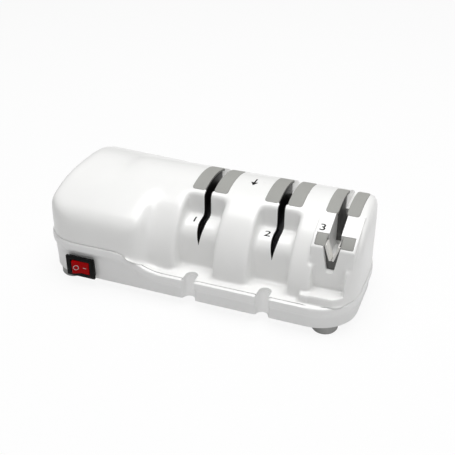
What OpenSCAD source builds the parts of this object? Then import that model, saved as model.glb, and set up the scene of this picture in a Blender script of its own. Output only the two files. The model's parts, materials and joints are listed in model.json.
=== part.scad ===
// Three-stage electric knife sharpener, in millimetres.
// X runs along the body from the motor end to the third stage, Y from front to back, Z up.
// The origin is the centre of the footprint on the table.

/* [Body] */
// Overall length along X
body_l = 220; // [216:1:230]
// Overall depth along Y
body_d = 110; // [108:1:116]
// Height of the crest above the table
body_h = 71.2; // [70:0.1:74]
// Corner radius of the footprint
corner_r = 28; // [24:1:32]
// Radius of the back corner at the motor end, as a share of half the depth
rear_left_share = 0.62; // [0.56:0.02:0.64]
// Radius of the back corner at the third stage, as a share of half the depth
rear_right_share = 0.98; // [0.9:0.02:0.98]
// Wall thickness of the lower base
wall = 2.4; // [2:0.1:2.6]
// Wall thickness of the upper housing
shell = 3; // [2.8:0.1:3.1]
// Thickness of the base floor
floor_t = 2; // [1.6:0.1:2.4]

/* [Motor dome] */
// Height of the crown at the motor end
dome_h = 70.8; // [70:0.1:72]
// Fall of the crown towards the stages, in degrees
dome_fall = 1.9; // [1:0.1:2]
// Radius of the shallow crown over the motor
crown_r = 82; // [80:1:100]
// Height where the dome's upright walls end and its shoulders begin
shoulder_low = 45.5; // [44:0.5:47]
// Slope of the shoulders, in degrees
shoulder_lean = 65; // [62:1:68]
// Radius of the top edge at the motor end
end_r = 9; // [7:0.5:12]
// Inward lean of the end wall at the motor, in degrees
end_lean = 12; // [8:1:13]
// X position where the motor dome ends
dome_end = -34; // [-38:1:-30]
// How far the dome stands back from the edge of the base
dome_setback = 1; // [0.5:0.1:2]

/* [Stage section] */
// Radius of the arched ribs
arch_r = 50; // [48:0.5:51]
// Y position of the arch's centre line
arch_y = 2; // [0:0.5:3]
// Half depth of the arch at its foot
arch_half = 48.8; // [46:0.1:49]
// Height of the seam on the stage side
seam_low = 21.4; // [20:0.1:22]
// Height of the seam round the motor
seam_high = 31.5; // [29:0.1:33]
// X position of the middle of the seam's S-bend
seam_bend_x = -36; // [-40:1:-32]
// Length of the seam's S-bend
seam_bend_l = 36; // [28:1:44]
// Gap between the two mouldings at the seam
seam_gap = 0.2; // [0.1:0.05:0.4]
// Thickness of the ledge in front of the bays
ledge_t = 1.8; // [1.4:0.1:2.4]
// Radius of the top edge at the third stage
right_end_r = 9; // [6:0.5:12]

/* [Bays and slots] */
// X position of the first slot
slot_1_x = 2; // [0:0.5:4]
// X position of the second slot
slot_2_x = 52.5; // [51:0.5:54]
// X position of the third slot
slot_3_x = 91; // [90:0.5:91.5]
// Width of each bay
bay_w = 26.5; // [24:0.5:28]
// Distance from the arch's centre line to the face of the knife rest
rest_face = 37.7; // [36:0.1:39]
// Height of the knife rest
rest_h = 51.3; // [51:0.1:53]
// Radius of the knife rest's shoulder
rest_r = 12; // [8:0.5:14]
// Distance from the arch's centre line to the bay's upper wall
bay_wall = 21; // [20.5:0.1:22]
// Width of the blade slots between the pads
slot_w = 6; // [5.6:0.1:6.6]
// Height of the slots' bottom at the rear exit
slot_exit_h = 60; // [58:0.5:61]
// Height of the point where a slot ends on the knife rest
slot_tip_h = 37.7; // [36:0.1:40]
// Width of a slot where it enters the knife rest
slot_rest_w = 4.6; // [3.6:0.1:5]
// Width of the notches in the base's front wall
notch_w = 8.5; // [7:0.1:10]
// Depth of the notches at the ledge
notch_d = 11.5; // [9:0.1:12.5]
// Depth of the notches at the bottom edge
notch_low_d = 6; // [5:0.1:8]

/* [Pads and guides] */
// Width of the pads beside slots 1 and 2
pad_w = 9.5; // [8:0.1:10]
// Width of the rear pads of the third stage
pad_3_w = 8; // [7:0.1:8.5]
// Distance of the pads' front edge from the arch's centre line
pad_front = 17.5; // [16:0.1:18]
// Distance of the pads' rear edge from the arch's centre line
pad_rear = 18.5; // [16:0.1:20]
// Distance of the third stage's rear pads from the arch's centre line, at the front
pad_3_front = 13; // [12:0.1:15]
// Distance of the third stage's rear pads from the arch's centre line, at the rear
pad_3_rear = 15; // [14:0.1:18]
// Thickness of the pads
pad_t = 1.5; // [1.2:0.1:1.8]
// Thickness of the slots' lining walls
guide_t = 2.4; // [1.8:0.1:2.6]
// Height of the lining walls' lower edge
guide_low = 50.8; // [50.5:0.1:52]

/* [Third stage] */
// Width of the third stage's block
block_w = 26.5; // [25:0.5:26.5]
// Distance of the block's front face from the arch's centre line
block_face = 41.5; // [41:0.1:43]
// Height of the block's front top edge
block_h = 59.2; // [58:0.1:60]
// Height of the floor in front of the block
block_floor = 27; // [26:0.1:29]
// Distance of that floor's front edge from the arch's centre line
block_floor_front = 52; // [51:0.1:53]
// Width of the V notch at its mouth
vee_w = 11.6; // [11.4:0.1:12]
// Width of the V notch at its flat bottom
vee_low_w = 4.9; // [4.4:0.1:5.4]
// Depth of the V notch below the block's front top edge
vee_depth = 16.4; // [16:0.1:17]
// Width of the channel behind the V notch
channel_w = 7.5; // [7:0.1:8]
// Depth of the ceramic holder along Y
holder_d = 9; // [8:0.1:10]
// Thickness of the ceramic plates
plate_t = 1.5; // [1.3:0.1:1.6]
// Lean of each ceramic plate from vertical
plate_lean = 18; // [16:0.5:18.5]
// Length of each ceramic plate up its slope
plate_l = 12; // [10:0.5:12.5]

/* [Feet and screws] */
// Height of the feet
foot_h = 6; // [5:0.1:7]
// Radius of the feet
foot_r = 8.5; // [7:0.1:9]
// Distance of the feet's middles from the base's ends
foot_in_x = 19; // [18:0.5:22]
// Distance of the feet's middles from the base's front and back
foot_in_y = 13; // [12:0.5:15]
// Radius of the case screws' shanks
screw_r = 1.5; // [1.3:0.05:1.7]
// Length of the case screws
screw_l = 16; // [14:0.5:18]

/* [Switch] */
// Distance of the switch from the motor end
switch_in = 33; // [30:0.5:35]
// Height of the switch's centre
switch_z = 14.5; // [14.5:0.1:15]
// Width of the bezel
bezel_w = 21; // [20:0.1:22]
// Height of the bezel
bezel_h = 15; // [14:0.1:15.5]
// How far the bezel stands proud
bezel_t = 1.8; // [1.4:0.1:2]
// Width of the rocker
rocker_w = 13.8; // [13:0.1:14.6]
// Height of the rocker
rocker_h = 9.6; // [9:0.1:10]
// Tilt of the rocker each way from its middle
rocker_tilt = 11; // [9:0.5:12]

/* [Drive] */
// Y position of the shaft
shaft_y = 2; // [1:0.1:3]
// Height of the shaft
shaft_z = 32; // [31.5:0.1:32.4]
// Radius of the shaft
shaft_r = 3; // [2.5:0.1:3.2]
// Running clearance on radius
run_clear = 0.05; // [0.03:0.01:0.08]
// Radius of the abrasive wheels
wheel_r = 17.5; // [16:0.1:18]
// Radius of the wheels at the foot of their bevel
wheel_low_r = 9; // [8:0.1:10]
// Travel of a floating wheel
float_travel = 1.5; // [1:0.1:1.8]
// Radius of the fan
fan_r = 20; // [16:0.5:20.5]

/* [Motor] */
// Distance of the middle of the laminations from the motor end
stator_in = 40; // [39:0.5:40.5]
// Thickness of the lamination stack
stack_t = 20; // [18:0.5:21]
// Height of the pole block
pole_h = 41.5; // [40.5:0.5:42]
// Radius of the rotor
rotor_r = 13.5; // [12.5:0.1:13.8]
// Air gap between rotor and stator
air_gap = 0.5; // [0.4:0.05:0.7]
// Thickness of the coil limb and the arms
limb_t = 10; // [9:0.5:10.5]
// Radius of the bearing bushes
bush_r = 5; // [4.6:0.1:5.4]
// Length of the bearing bushes
bush_l = 7; // [6:0.5:8]

/* [Cord inlet] */
// Distance of the cord gland from the motor end
gland_in = 66; // [65:0.5:67]
// Height of the cord gland
gland_z = 17; // [16.5:0.1:17.5]
// Bore of the cord gland
gland_bore_r = 3.6; // [3:0.1:3.8]

/* [Hidden] */
$fn = 96;

white = [0.94, 0.94, 0.93];
pad_grey = [0.62, 0.62, 0.6];
dark_grey = [0.32, 0.32, 0.32];
black = [0.07, 0.07, 0.07];
steel = [0.66, 0.67, 0.69];
copper = [0.72, 0.4, 0.2];
bronze = [0.7, 0.55, 0.3];

far = 300;
fit = 0.1;
hair = 0.02;
slots = [slot_1_x, slot_2_x];
base_z = foot_h;
floor_z = base_z + floor_t;
ledge_z = seam_low;
vee_low = block_h - vee_depth;
front_y = -body_d / 2;
half_l = body_l / 2;
rear_left_r = rear_left_share * body_d / 2;
rear_right_r = rear_right_share * body_d / 2;
switch_x = switch_in - half_l;
stator_x = stator_in - half_l;
gland_x = gland_in - half_l;
post_x = half_l - 7;
rib_x = (slot_1_x + slot_2_x) / 2;
rib_y = body_d / 2 - 14;
boss_r = 4.2;

// A point beside the arc of a back corner; side -1 is the motor end
function by_corner(side, inward, angle) =
  let (r = side < 0 ? rear_left_r : rear_right_r)
  [side * (half_l - r + (r - inward) * cos(angle)), body_d / 2 - r + (r - inward) * sin(angle)];

case_points = [by_corner(-1, boss_r + 1, 30), [-post_x + 3, -28], [rib_x, 0.3 - rib_y], [rib_x, rib_y + 1],
               by_corner(1, boss_r + 2, 20), [post_x, -20]];
foot_points = [[foot_in_x - half_l, front_y + foot_in_y], [half_l - foot_in_x, front_y + foot_in_y],
               by_corner(-1, foot_in_y, 66), by_corner(1, foot_in_y, 48)];
head_r = 3.2;
head_t = 2.2;
head_z = base_z + 0.4;

// ---- placing helpers ----

// A (y, z) outline carried along X
module along_x(x0, x1) {
  translate([x0, 0, 0]) rotate([90, 0, 90]) linear_extrude(x1 - x0) children();
}

// An (x, z) outline carried along Y
module along_y(y0, y1) {
  translate([0, y1, 0]) rotate([90, 0, 0]) linear_extrude(y1 - y0) children();
}

// A round bar along X, centred on the shaft
module shaft_bar(x0, x1, r) {
  translate([x0, shaft_y, shaft_z]) rotate([0, 90, 0]) cylinder(r = r, h = x1 - x0);
}

module box(low, high) {
  translate(low) cube(high - low);
}

// A rectangle with front corners of radius r and back corners of radii of their own
module rounded_plan(x0, x1, y0, y1, r, back_left, back_right) {
  polygon([[x0, y0 + r], [x0 + r, y0], [x1 - r, y0], [x1, y0 + r],
           [x1, y1 - back_right], [x1 - back_right, y1], [x0 + back_left, y1], [x0, y1 - back_left]]);
  for (x = [x0 + r, x1 - r]) translate([x, y0 + r]) circle(r);
  translate([x0 + back_left, y1 - back_left]) circle(back_left);
  translate([x1 - back_right, y1 - back_right]) circle(back_right);
}

// ---- outlines of the mouldings ----

module base_plan(inset) {
  rounded_plan(-half_l + inset, half_l - inset, front_y + inset, -front_y - inset, corner_r - inset,
               rear_left_r - inset, rear_right_r - inset);
}

// The seam's height at a given x: high round the motor, low along the stages, a half cosine between
function seam_at(x) =
  let (t = (x - seam_bend_x) / seam_bend_l + 0.5)
  t <= 0 ? seam_high : t >= 1 ? seam_low :
  seam_low + (seam_high - seam_low) * (1 + cos(180 * t)) / 2;

seam_steps = 10;
seam_points = [for (i = [0:seam_steps])
  let (x = seam_bend_x + seam_bend_l * (i / seam_steps - 0.5)) [x, seam_at(x)]];

module under_seam(lift) {
  translate([0, lift])
    polygon(concat([[-far, -far], [-far, seam_high]], seam_points, [[far, seam_low], [far, -far]]));
}

module above_seam(lift) {
  difference() {
    translate([-far, -far]) square(2 * far);
    under_seam(lift);
  }
}

dome_half = body_d / 2 - dome_setback;
crown_z = dome_h - crown_r;

// The dome's cross section: upright walls, sloping shoulders and a shallow crown
module dome_section(inset) {
  half = dome_half - inset;
  // The height at which a shoulder, moved inwards by the inset, crosses a given y
  function shoulder_at(y) = shoulder_low + ((dome_half - y) * sin(shoulder_lean) - inset) / cos(shoulder_lean);
  intersection() {
    translate([0, crown_z]) circle(crown_r - inset, $fn = 180);
    polygon([[-half, -far], [-half, shoulder_at(half)], [0, shoulder_at(0)], [half, shoulder_at(half)], [half, -far]]);
  }
}

arch_z = body_h - arch_r;

module arch_section(inset) {
  intersection() {
    translate([arch_y, arch_z]) circle(arch_r - inset, $fn = 180);
    translate([arch_y - arch_half + inset, 0]) square([2 * (arch_half - inset), far]);
  }
}

// The outline seen from the front. The end wall at the motor leans inwards from the seam up and meets
// the round of the top edge, which stands a hair outside the wall's line so that the two cross cleanly
module front_outline(inset) {
  left = -half_l + dome_setback;
  right = half_l - 0.4;
  round_z = body_h - end_r;
  round_x = left + (round_z - seam_high) * tan(end_lean) + end_r / cos(end_lean) - 2 * hair;
  touch_x = round_x + 2 * hair - (end_r - inset) * cos(end_lean);
  touch_z = round_z + (end_r - inset) * sin(end_lean);
  polygon([[touch_x - touch_z * tan(end_lean), 0], [touch_x, touch_z], [round_x, round_z], [round_x, body_h - inset],
           [right - right_end_r, body_h - inset], [right - right_end_r, body_h - right_end_r],
           [right - inset, body_h - right_end_r], [right - inset, 0]]);
  translate([round_x, round_z]) circle(end_r - inset);
  translate([right - right_end_r, body_h - right_end_r]) circle(right_end_r - inset);
}

dome_corner_r = 12;
dome_peak_x = -99;

module dome_solid(inset) {
  intersection() {
    translate([dome_peak_x, 0, dome_h]) rotate([0, dome_fall, 0]) translate([0, 0, -dome_h])
      along_x(-half_l, half_l) dome_section(inset);
    along_y(-far, far) front_outline(inset);
    linear_extrude(far)
      rounded_plan(-half_l + dome_setback + inset, half_l, -dome_half + inset, dome_half - inset,
                   corner_r - dome_setback - inset, rear_left_r - dome_setback - inset, dome_corner_r);
    linear_extrude(far)
      rounded_plan(-far, dome_end - inset, -dome_half + inset, dome_half - inset,
                   dome_corner_r - inset, dome_corner_r - inset, dome_corner_r - inset);
  }
}

module arch_solid(inset) {
  intersection() {
    along_x(dome_end - 2 * dome_corner_r, half_l) arch_section(inset);
    along_y(-far, far) front_outline(inset);
    linear_extrude(far) base_plan(inset + 0.4);
  }
}

// Side outline of the third stage's block, top sloping up to the arch
block_back = arch_y - pad_front;
block_back_z = arch_z + sqrt(pow(arch_r, 2) - pow(pad_front, 2));
block_edge_r = 2;

module block_side(inset) {
  front = arch_y - block_face + inset;
  polygon([[front, 0], [front, block_h - inset - block_edge_r], [front + block_edge_r, block_h - inset],
           [block_back, block_back_z - inset], [arch_y, block_back_z - inset], [arch_y, 0]]);
}

module block_solid(inset) {
  intersection() {
    along_x(slot_3_x - block_w / 2 + inset, slot_3_x + block_w / 2 - inset) block_side(inset);
    linear_extrude(far) base_plan(0.4 + inset);
  }
}

// How far the bays' cut goes below the ledge, whose own slab is put back afterwards
bay_extra = 0.6;

function bay_low(grow) = grow > 0 ? ledge_z - grow : ledge_z - bay_extra;

// The space cut away in front of a knife rest, as a (y, z) outline
module bay_side(grow) {
  rest_y = arch_y - rest_face + grow;
  wall_y = arch_y - bay_wall + grow;
  r = rest_r - grow;
  difference() {
    translate([-far, bay_low(grow)]) square([far + wall_y, far]);
    difference() {
      translate([rest_y, 0]) square([far, rest_h - grow]);
      translate([rest_y - 1, rest_h - grow - r]) square([r + 1, r + 1]);
    }
    translate([rest_y + r, rest_h - grow - r]) circle(r);
  }
}

// The space cut away in front of the third stage
module block_bay_side(grow) {
  translate([-far, block_floor - grow]) square([far + arch_y - block_face + grow, far]);
  translate([-far, bay_low(grow)]) square([far + arch_y - block_floor_front + grow, far]);
}

module bays(grow) {
  for (x = slots) along_x(x - bay_w / 2 - grow, x + bay_w / 2 + grow) bay_side(grow);
  along_x(slot_3_x - block_w / 2 - grow, slot_3_x + block_w / 2 + grow) block_bay_side(grow);
}

// The finger notch, a round-backed slot leaning back towards its top
notch_lean = atan((notch_d - notch_low_d) / (ledge_z - base_z));

module notch(x, grow) {
  r = notch_w / 2 + grow;
  back = -front_y - notch_d + notch_w / 2;
  translate([x, -back, ledge_z]) rotate([-notch_lean, 0, 0]) {
    translate([0, 0, -far / 4]) cylinder(r = r, h = far / 2);
    translate([-r, -far / 2, -far / 4]) cube([2 * r, far / 2, far / 2]);
  }
}

module notches(grow) {
  intersection() {
    for (x = slots) notch(x, grow);
    box([-far, front_y - 10, base_z - 1], [far, front_y + 2 * notch_d, ledge_z + 8]);
  }
}

// Height of the base's screw boss at a given x
function boss_top(x) = seam_at(x) - ledge_t - seam_gap;

// ---- slots ----

pad_low_r = arch_r - pad_t;
well_front = arch_y - pad_front + 0.6;
well_rear = arch_y + pad_rear - 1;
well_half = slot_w / 2 + guide_t + fit;

module powered_slot(x) {
  mid_low = guide_low - 1.2;
  box([x - slot_w / 2, -far, slot_exit_h], [x + slot_w / 2, far, far]);
  box([x - slot_rest_w / 2, -far, mid_low], [x + slot_rest_w / 2, arch_y, slot_exit_h + 1]);
  along_y(-far, arch_y - rest_face + 2 * shell + rest_r)
    polygon([[x - slot_rest_w / 2, mid_low + 0.1], [x, slot_tip_h], [x + slot_rest_w / 2, mid_low + 0.1]]);
  box([x - well_half, well_front, mid_low], [x + well_half, well_rear, far]);
}

// A pad's seat: the outer skin of the arch between two radii
module arch_skin(x0, x1, y0, y1, r_in, r_out) {
  intersection() {
    box([x0, y0, body_h / 2], [x1, y1, far]);
    difference() {
      translate([x0 - 1, arch_y, arch_z]) rotate([0, 90, 0]) cylinder(r = r_out, h = x1 - x0 + 2, $fn = 180);
      translate([x0 - 2, arch_y, arch_z]) rotate([0, 90, 0]) cylinder(r = r_in, h = x1 - x0 + 4, $fn = 180);
    }
  }
}

module pad(x, side, w, gap, front, rear, clear) {
  x0 = side < 0 ? x - gap / 2 - w : x + gap / 2;
  arch_skin(x0 - clear, x0 + w + clear, arch_y - front - clear, arch_y + rear + clear,
            pad_low_r, clear > 0 ? arch_r + 1 : arch_r);
}

rear_gap = 5.5;
holder_front = arch_y - block_face;
holder_back = holder_front + holder_d;

// The V notch's outline, open upwards
module vee(grow) {
  slope = (vee_w - vee_low_w) / 2 / vee_depth;
  top = far - vee_low;
  polygon([[slot_3_x - vee_low_w / 2 - grow, vee_low - grow],
           [slot_3_x + vee_low_w / 2 + grow, vee_low - grow],
           [slot_3_x + vee_low_w / 2 + grow + slope * top, far],
           [slot_3_x - vee_low_w / 2 - grow - slope * top, far]]);
}

trough_low = 46;
rear_well_half = rear_gap / 2 + 3;
rear_well_front = arch_y - pad_3_front + 0.6;
rear_well_back = arch_y + pad_3_rear - 1;

module third_slot(grow) {
  along_y(holder_front - 1, holder_back + grow) vee(grow);
  box([slot_3_x - channel_w / 2 - grow, holder_front - 1, vee_low - grow],
      [slot_3_x + channel_w / 2 + grow, rear_well_front + 1 + grow, far]);
  box([slot_3_x - rear_well_half - grow, rear_well_front - grow, trough_low - grow],
      [slot_3_x + rear_well_half + grow, rear_well_back + grow, far]);
  box([slot_3_x - rear_gap / 2 - grow, arch_y, slot_exit_h - grow],
      [slot_3_x + rear_gap / 2 + grow, far, far]);
}

// Seats of the two small pads on top of the block
front_pad_w = 7.6;
front_pad_gap = 9.4;
front_pad_t = 1.4;

function block_top(y) =
  let (y0 = holder_front + block_edge_r)
  block_h + (block_back_z - block_h) * (y - y0) / (block_back - y0);

// A small pad bent over the block's top front edge, as a (y, z) outline; its seat is open above
module front_pad_side(clear) {
  low = block_h - block_edge_r;
  y1 = holder_back + clear;
  under = [[y1, block_top(y1) - front_pad_t], [holder_front + block_edge_r, block_h - front_pad_t],
           [holder_front + front_pad_t, low]];
  polygon(concat(
    clear > 0 ? [[holder_front - 1, low], [holder_front - 1, far], [y1, far]]
              : [[holder_front, low], [holder_front + block_edge_r, block_h], [y1, block_top(y1)]],
    under));
}

module front_pad(side, clear) {
  w = front_pad_w + clear;
  x0 = side < 0 ? slot_3_x - front_pad_gap / 2 - w : slot_3_x + front_pad_gap / 2;
  along_x(x0, x0 + w) front_pad_side(clear);
}

// ---- mouldings ----

// The ledge inside the rim of the base, its top flush with the rim
module ledge() {
  difference() {
    linear_extrude(far) base_plan(wall + seam_gap);
    along_y(-far, far) above_seam(0);
  }
}

// The raised floor in front of the third stage
module block_floor_solid() {
  intersection() {
    along_x(slot_3_x - block_w / 2 - shell, half_l)
      translate([arch_y - block_floor_front - 1, 0]) square([20, block_floor]);
    linear_extrude(far) base_plan(0.4);
  }
}

module outer_form() {
  difference() {
    union() {
      dome_solid(0);
      arch_solid(0);
      block_solid(0);
      block_floor_solid();
    }
    bays(0);
  }
  ledge();
}

module inner_form() {
  difference() {
    union() {
      dome_solid(shell);
      difference() {
        union() {
          arch_solid(shell);
          block_solid(shell);
        }
        bays(shell);
        third_slot(shell);
      }
    }
    for (p = case_points) translate([p[0], p[1], 0]) cylinder(r = boss_r, h = far);
  }
}

module upper_housing() color(white) difference() {
  outer_form();
  inner_form();
  difference() {
    along_y(-far, far) under_seam(seam_gap);
    linear_extrude(far) base_plan(wall + seam_gap);
  }
  along_y(-far, far) under_seam(-ledge_t);
  for (p = case_points) translate([p[0], p[1], boss_top(p[0]) - 1]) cylinder(r = screw_r, h = screw_l);
  for (x = slots) {
    powered_slot(x);
    for (side = [-1, 1]) pad(x, side, pad_w, slot_w, pad_front, pad_rear, fit);
  }
  third_slot(0);
  for (side = [-1, 1]) {
    pad(slot_3_x, side, pad_3_w, rear_gap, pad_3_front, pad_3_rear, fit);
    front_pad(side, fit);
  }
  notches(0);
}

vent_w = 2.6;
vent_l = 28;
vent_pitch = 5;

module vents(x0, count) {
  for (i = [0:count - 1])
    box([x0 + i * vent_pitch, shaft_y - vent_l / 2, 0], [x0 + i * vent_pitch + vent_w, shaft_y + vent_l / 2, floor_z + 1]);
}

module feet_at() {
  for (p = foot_points) translate([p[0], p[1], 0]) children();
}

saddle_t = 1.6;
stack_low = shaft_z - pole_h / 2;
saddle_low = stack_low - saddle_t;
saddle_x = stack_t / 2 + 4;
saddle_points = [for (x = [-saddle_x, saddle_x], y = [-14, 14]) [stator_x + x, shaft_y + y]];
pedestal_x = slot_2_x + 24;
pedestal_points = [for (y = [-11, 11]) [pedestal_x, shaft_y + y]];
switch_cut_w = bezel_w - 2;
switch_cut_h = bezel_h - 2.2;
gland_r = 5.2;

module lower_base() color(white) difference() {
  union() {
    difference() {
      intersection() {
        translate([0, 0, base_z]) linear_extrude(far) base_plan(0);
        along_y(-far, far) under_seam(0);
      }
      translate([0, 0, floor_z]) linear_extrude(far) base_plan(wall);
    }
    intersection() {
      notches(wall);
      translate([0, 0, base_z]) linear_extrude(boss_top(slot_1_x) - base_z) base_plan(0);
    }
    for (p = case_points) translate([p[0], p[1], base_z]) cylinder(r = boss_r, h = boss_top(p[0]) - base_z);
    feet_at() translate([0, 0, base_z]) cylinder(r = boss_r, h = 10);
    for (p = saddle_points) translate([p[0], p[1], base_z]) cylinder(r = boss_r, h = saddle_low - base_z);
    for (p = pedestal_points) translate([p[0], p[1], base_z]) cylinder(r = boss_r, h = 5);
  }
  notches(0);
  for (p = case_points) translate([p[0], p[1], 0]) {
    cylinder(r = screw_r + 0.3, h = far);
    cylinder(r = head_r + 0.3, h = head_z + head_t);
  }
  feet_at() cylinder(r = screw_r, h = base_z + 8);
  for (p = concat(saddle_points, pedestal_points)) translate([p[0], p[1], 0]) {
    cylinder(r = screw_r + 0.3, h = far);
    cylinder(r = head_r + 0.3, h = head_z + head_t);
  }
  box([switch_x - switch_cut_w / 2 - fit, front_y - 1, switch_z - switch_cut_h / 2 - fit],
      [switch_x + switch_cut_w / 2 + fit, front_y + 2 * wall, switch_z + switch_cut_h / 2 + fit]);
  translate([gland_x, 0, gland_z]) rotate([-90, 0, 0]) cylinder(r = gland_r + fit, h = far);
  vents(-half_l + 9, 3);
  vents(-50, 4);
}

// ---- pads, guides and the third stage ----

module powered_pad(x, side) color(pad_grey) pad(x, side, pad_w, slot_w, pad_front, pad_rear, 0);

module stage_1_left_pad() powered_pad(slot_1_x, -1);
module stage_1_right_pad() powered_pad(slot_1_x, 1);
module stage_2_left_pad() powered_pad(slot_2_x, -1);
module stage_2_right_pad() powered_pad(slot_2_x, 1);

// A lining wall beside a slot, its top following the underside of the pad
module guide(x, side) color(black) intersection() {
  x0 = side < 0 ? x - slot_w / 2 - guide_t : x + slot_w / 2;
  box([x0, well_front + fit, guide_low], [x0 + guide_t, well_rear - fit, far]);
  translate([x0 - 1, arch_y, arch_z]) rotate([0, 90, 0]) cylinder(r = pad_low_r - fit, h = guide_t + 2, $fn = 180);
}

module stage_1_left_guide() guide(slot_1_x, -1);
module stage_1_right_guide() guide(slot_1_x, 1);
module stage_2_left_guide() guide(slot_2_x, -1);
module stage_2_right_guide() guide(slot_2_x, 1);

module stage_3_rear_guide() color(dark_grey) union() {
  for (side = [-1, 1]) pad(slot_3_x, side, pad_3_w, rear_gap, pad_3_front, pad_3_rear, 0);
  difference() {
    intersection() {
      box([slot_3_x - rear_well_half + fit, rear_well_front + fit, trough_low + fit],
          [slot_3_x + rear_well_half - fit, rear_well_back - fit, far]);
      translate([0, arch_y, arch_z]) rotate([0, 90, 0]) cylinder(r = pad_low_r + hair, h = far, $fn = 180);
    }
    along_y(-far, far)
      polygon([[slot_3_x, trough_low + 2], [slot_3_x + rear_gap / 2, slot_exit_h - 2], [slot_3_x + rear_gap / 2, far],
               [slot_3_x - rear_gap / 2, far], [slot_3_x - rear_gap / 2, slot_exit_h - 2]]);
  }
}

plate_apex = vee_low + 4;
plate_front = holder_front + 0.6;
plate_gap = 0.05;

// One ceramic plate, leaning out from the apex of the V
module ceramic(side, grow) {
  translate([slot_3_x, 0, plate_apex]) rotate([0, side * plate_lean, 0])
    mirror([side < 0 ? 1 : 0, 0, 0])
      box([grow > 0 ? -0.5 : plate_gap, plate_front - grow, -grow],
          [plate_gap + plate_t + grow, holder_back - 0.6 + grow, plate_l + grow]);
}

module stage_3_left_ceramic() color("white") ceramic(-1, 0);
module stage_3_right_ceramic() color("white") ceramic(1, 0);

module stage_3_ceramic_holder() color(dark_grey) difference() {
  union() {
    for (side = [-1, 1]) front_pad(side, 0);
    intersection() {
      along_y(holder_front + 0.3, holder_back - fit) vee(-fit);
      block_solid(0.4);
    }
  }
  for (side = [-1, 1]) ceramic(side, fit);
  along_y(-far, far)
    polygon([[slot_3_x, plate_apex], [slot_3_x + far * tan(plate_lean), plate_apex + far],
             [slot_3_x - far * tan(plate_lean), plate_apex + far]]);
}

// ---- switch ----

rocker_pivot_y = front_y + 2;
rocker_clear = 0.4;
rocker_face = bezel_t + 1.5;

module switch_bezel() color(black) difference() {
  union() {
    box([switch_x - bezel_w / 2, front_y - bezel_t, switch_z - bezel_h / 2],
        [switch_x + bezel_w / 2, front_y, switch_z + bezel_h / 2]);
    box([switch_x - switch_cut_w / 2, front_y - 0.5, switch_z - switch_cut_h / 2],
        [switch_x + switch_cut_w / 2, front_y + 17, switch_z + switch_cut_h / 2]);
  }
  box([switch_x - rocker_w / 2 - rocker_clear, front_y - bezel_t - 1, switch_z - rocker_h / 2 - fit],
      [switch_x + rocker_w / 2 + rocker_clear, front_y + 12, switch_z + rocker_h / 2 + fit]);
  translate([switch_x, rocker_pivot_y, switch_z - rocker_h / 2 - 1]) cylinder(r = 1 + run_clear, h = rocker_h + 2);
}

// The rocker as seen from above, about its pivot and at its middle position: a shallow V face, and
// ends that slant so that the pressed end stands square in the bezel
module rocker_plan() {
  half = rocker_w / 2;
  face = rocker_face + 2;
  end_x = (half - face * sin(rocker_tilt)) / cos(rocker_tilt);
  polygon([[-end_x, -face], [0, 1.5 - face], [end_x, -face], [half, 0], [half - 1, 3], [2, 6],
           [-2, 6], [1 - half, 3], [-half, 0]]);
}

module switch_rocker() color([0.75, 0.02, 0.02])
  translate([switch_x, rocker_pivot_y, 0]) rotate([0, 0, rocker_tilt]) {
    translate([0, 0, switch_z - rocker_h / 2 + fit]) linear_extrude(rocker_h - 2 * fit) rocker_plan();
    translate([0, 0, switch_z - rocker_h / 2 - 0.9]) cylinder(r = 1, h = rocker_h + 1.8);
  }

terminal_y = front_y + 17;

module switch_terminals() color(bronze) for (x = [-4, 4])
  box([switch_x + x - 0.4, terminal_y, switch_z - 3.1], [switch_x + x + 0.4, terminal_y + 8, switch_z + 3.1]);

// ---- feet and screws ----

module foot() color(pad_grey) difference() {
  union() {
    cylinder(r = foot_r - 0.7, h = foot_h);
    translate([0, 0, 1]) cylinder(r = foot_r, h = foot_h - 1);
  }
  translate([0, 0, -1]) cylinder(r = screw_r + 0.2, h = foot_h + 2);
  translate([0, 0, -1]) cylinder(r = head_r + 0.6, h = foot_h - 2);
}

module front_left_foot() translate(foot_points[0]) foot();
module front_right_foot() translate(foot_points[1]) foot();
module rear_left_foot() translate(foot_points[2]) foot();
module rear_right_foot() translate(foot_points[3]) foot();

// A pan-head screw standing on its head
module screw(r, l) {
  difference() {
    union() {
      cylinder(r = head_r, h = head_t);
      translate([0, 0, head_t - 0.1]) cylinder(r = r, h = l + 0.1);
    }
    for (turn = [0, 90]) rotate([0, 0, turn]) translate([-head_r * 0.6, -0.4, -1]) cube([head_r * 1.2, 0.8, 2]);
  }
}

module foot_screws() color(steel) feet_at() translate([0, 0, foot_h - 3 - head_t]) screw(screw_r - hair, 9);

module case_screws() color(steel)
  for (p = case_points) translate([p[0], p[1], head_z]) screw(screw_r - hair, boss_top(p[0]) - head_z + screw_l - 4 - head_t);

module saddle_screws() color(steel)
  for (p = saddle_points) translate([p[0], p[1], head_z]) screw(screw_r - hair, saddle_low + saddle_t - head_z - head_t);

pedestal_low = base_z + 5;

module pedestal_screws() color(steel)
  for (p = pedestal_points) translate([p[0], p[1], head_z]) screw(screw_r - hair, pedestal_low + 6 - head_z - head_t);

// ---- motor ----

stack_x0 = stator_x - stack_t / 2;
stack_x1 = stator_x + stack_t / 2;
bore_r = rotor_r + air_gap;
pole_d = 0.4 * body_d;
coil_room = 8;
pole_y0 = shaft_y - pole_d / 2;
pole_y1 = shaft_y + pole_d / 2;
limb_y1 = dome_half - shell - coil_room;
limb_y0 = limb_y1 - limb_t;
stack_high = shaft_z + pole_h / 2;
ring_pitch_r = rotor_r + 4;
ring_angle = 28;
ring_wire_r = 1.2;
ring_gap = 0.35;
leg_t = pole_d / 2 - ring_pitch_r * cos(ring_angle) - ring_wire_r - ring_gap;
through_y = (pole_d - leg_t) / 2;

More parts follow.
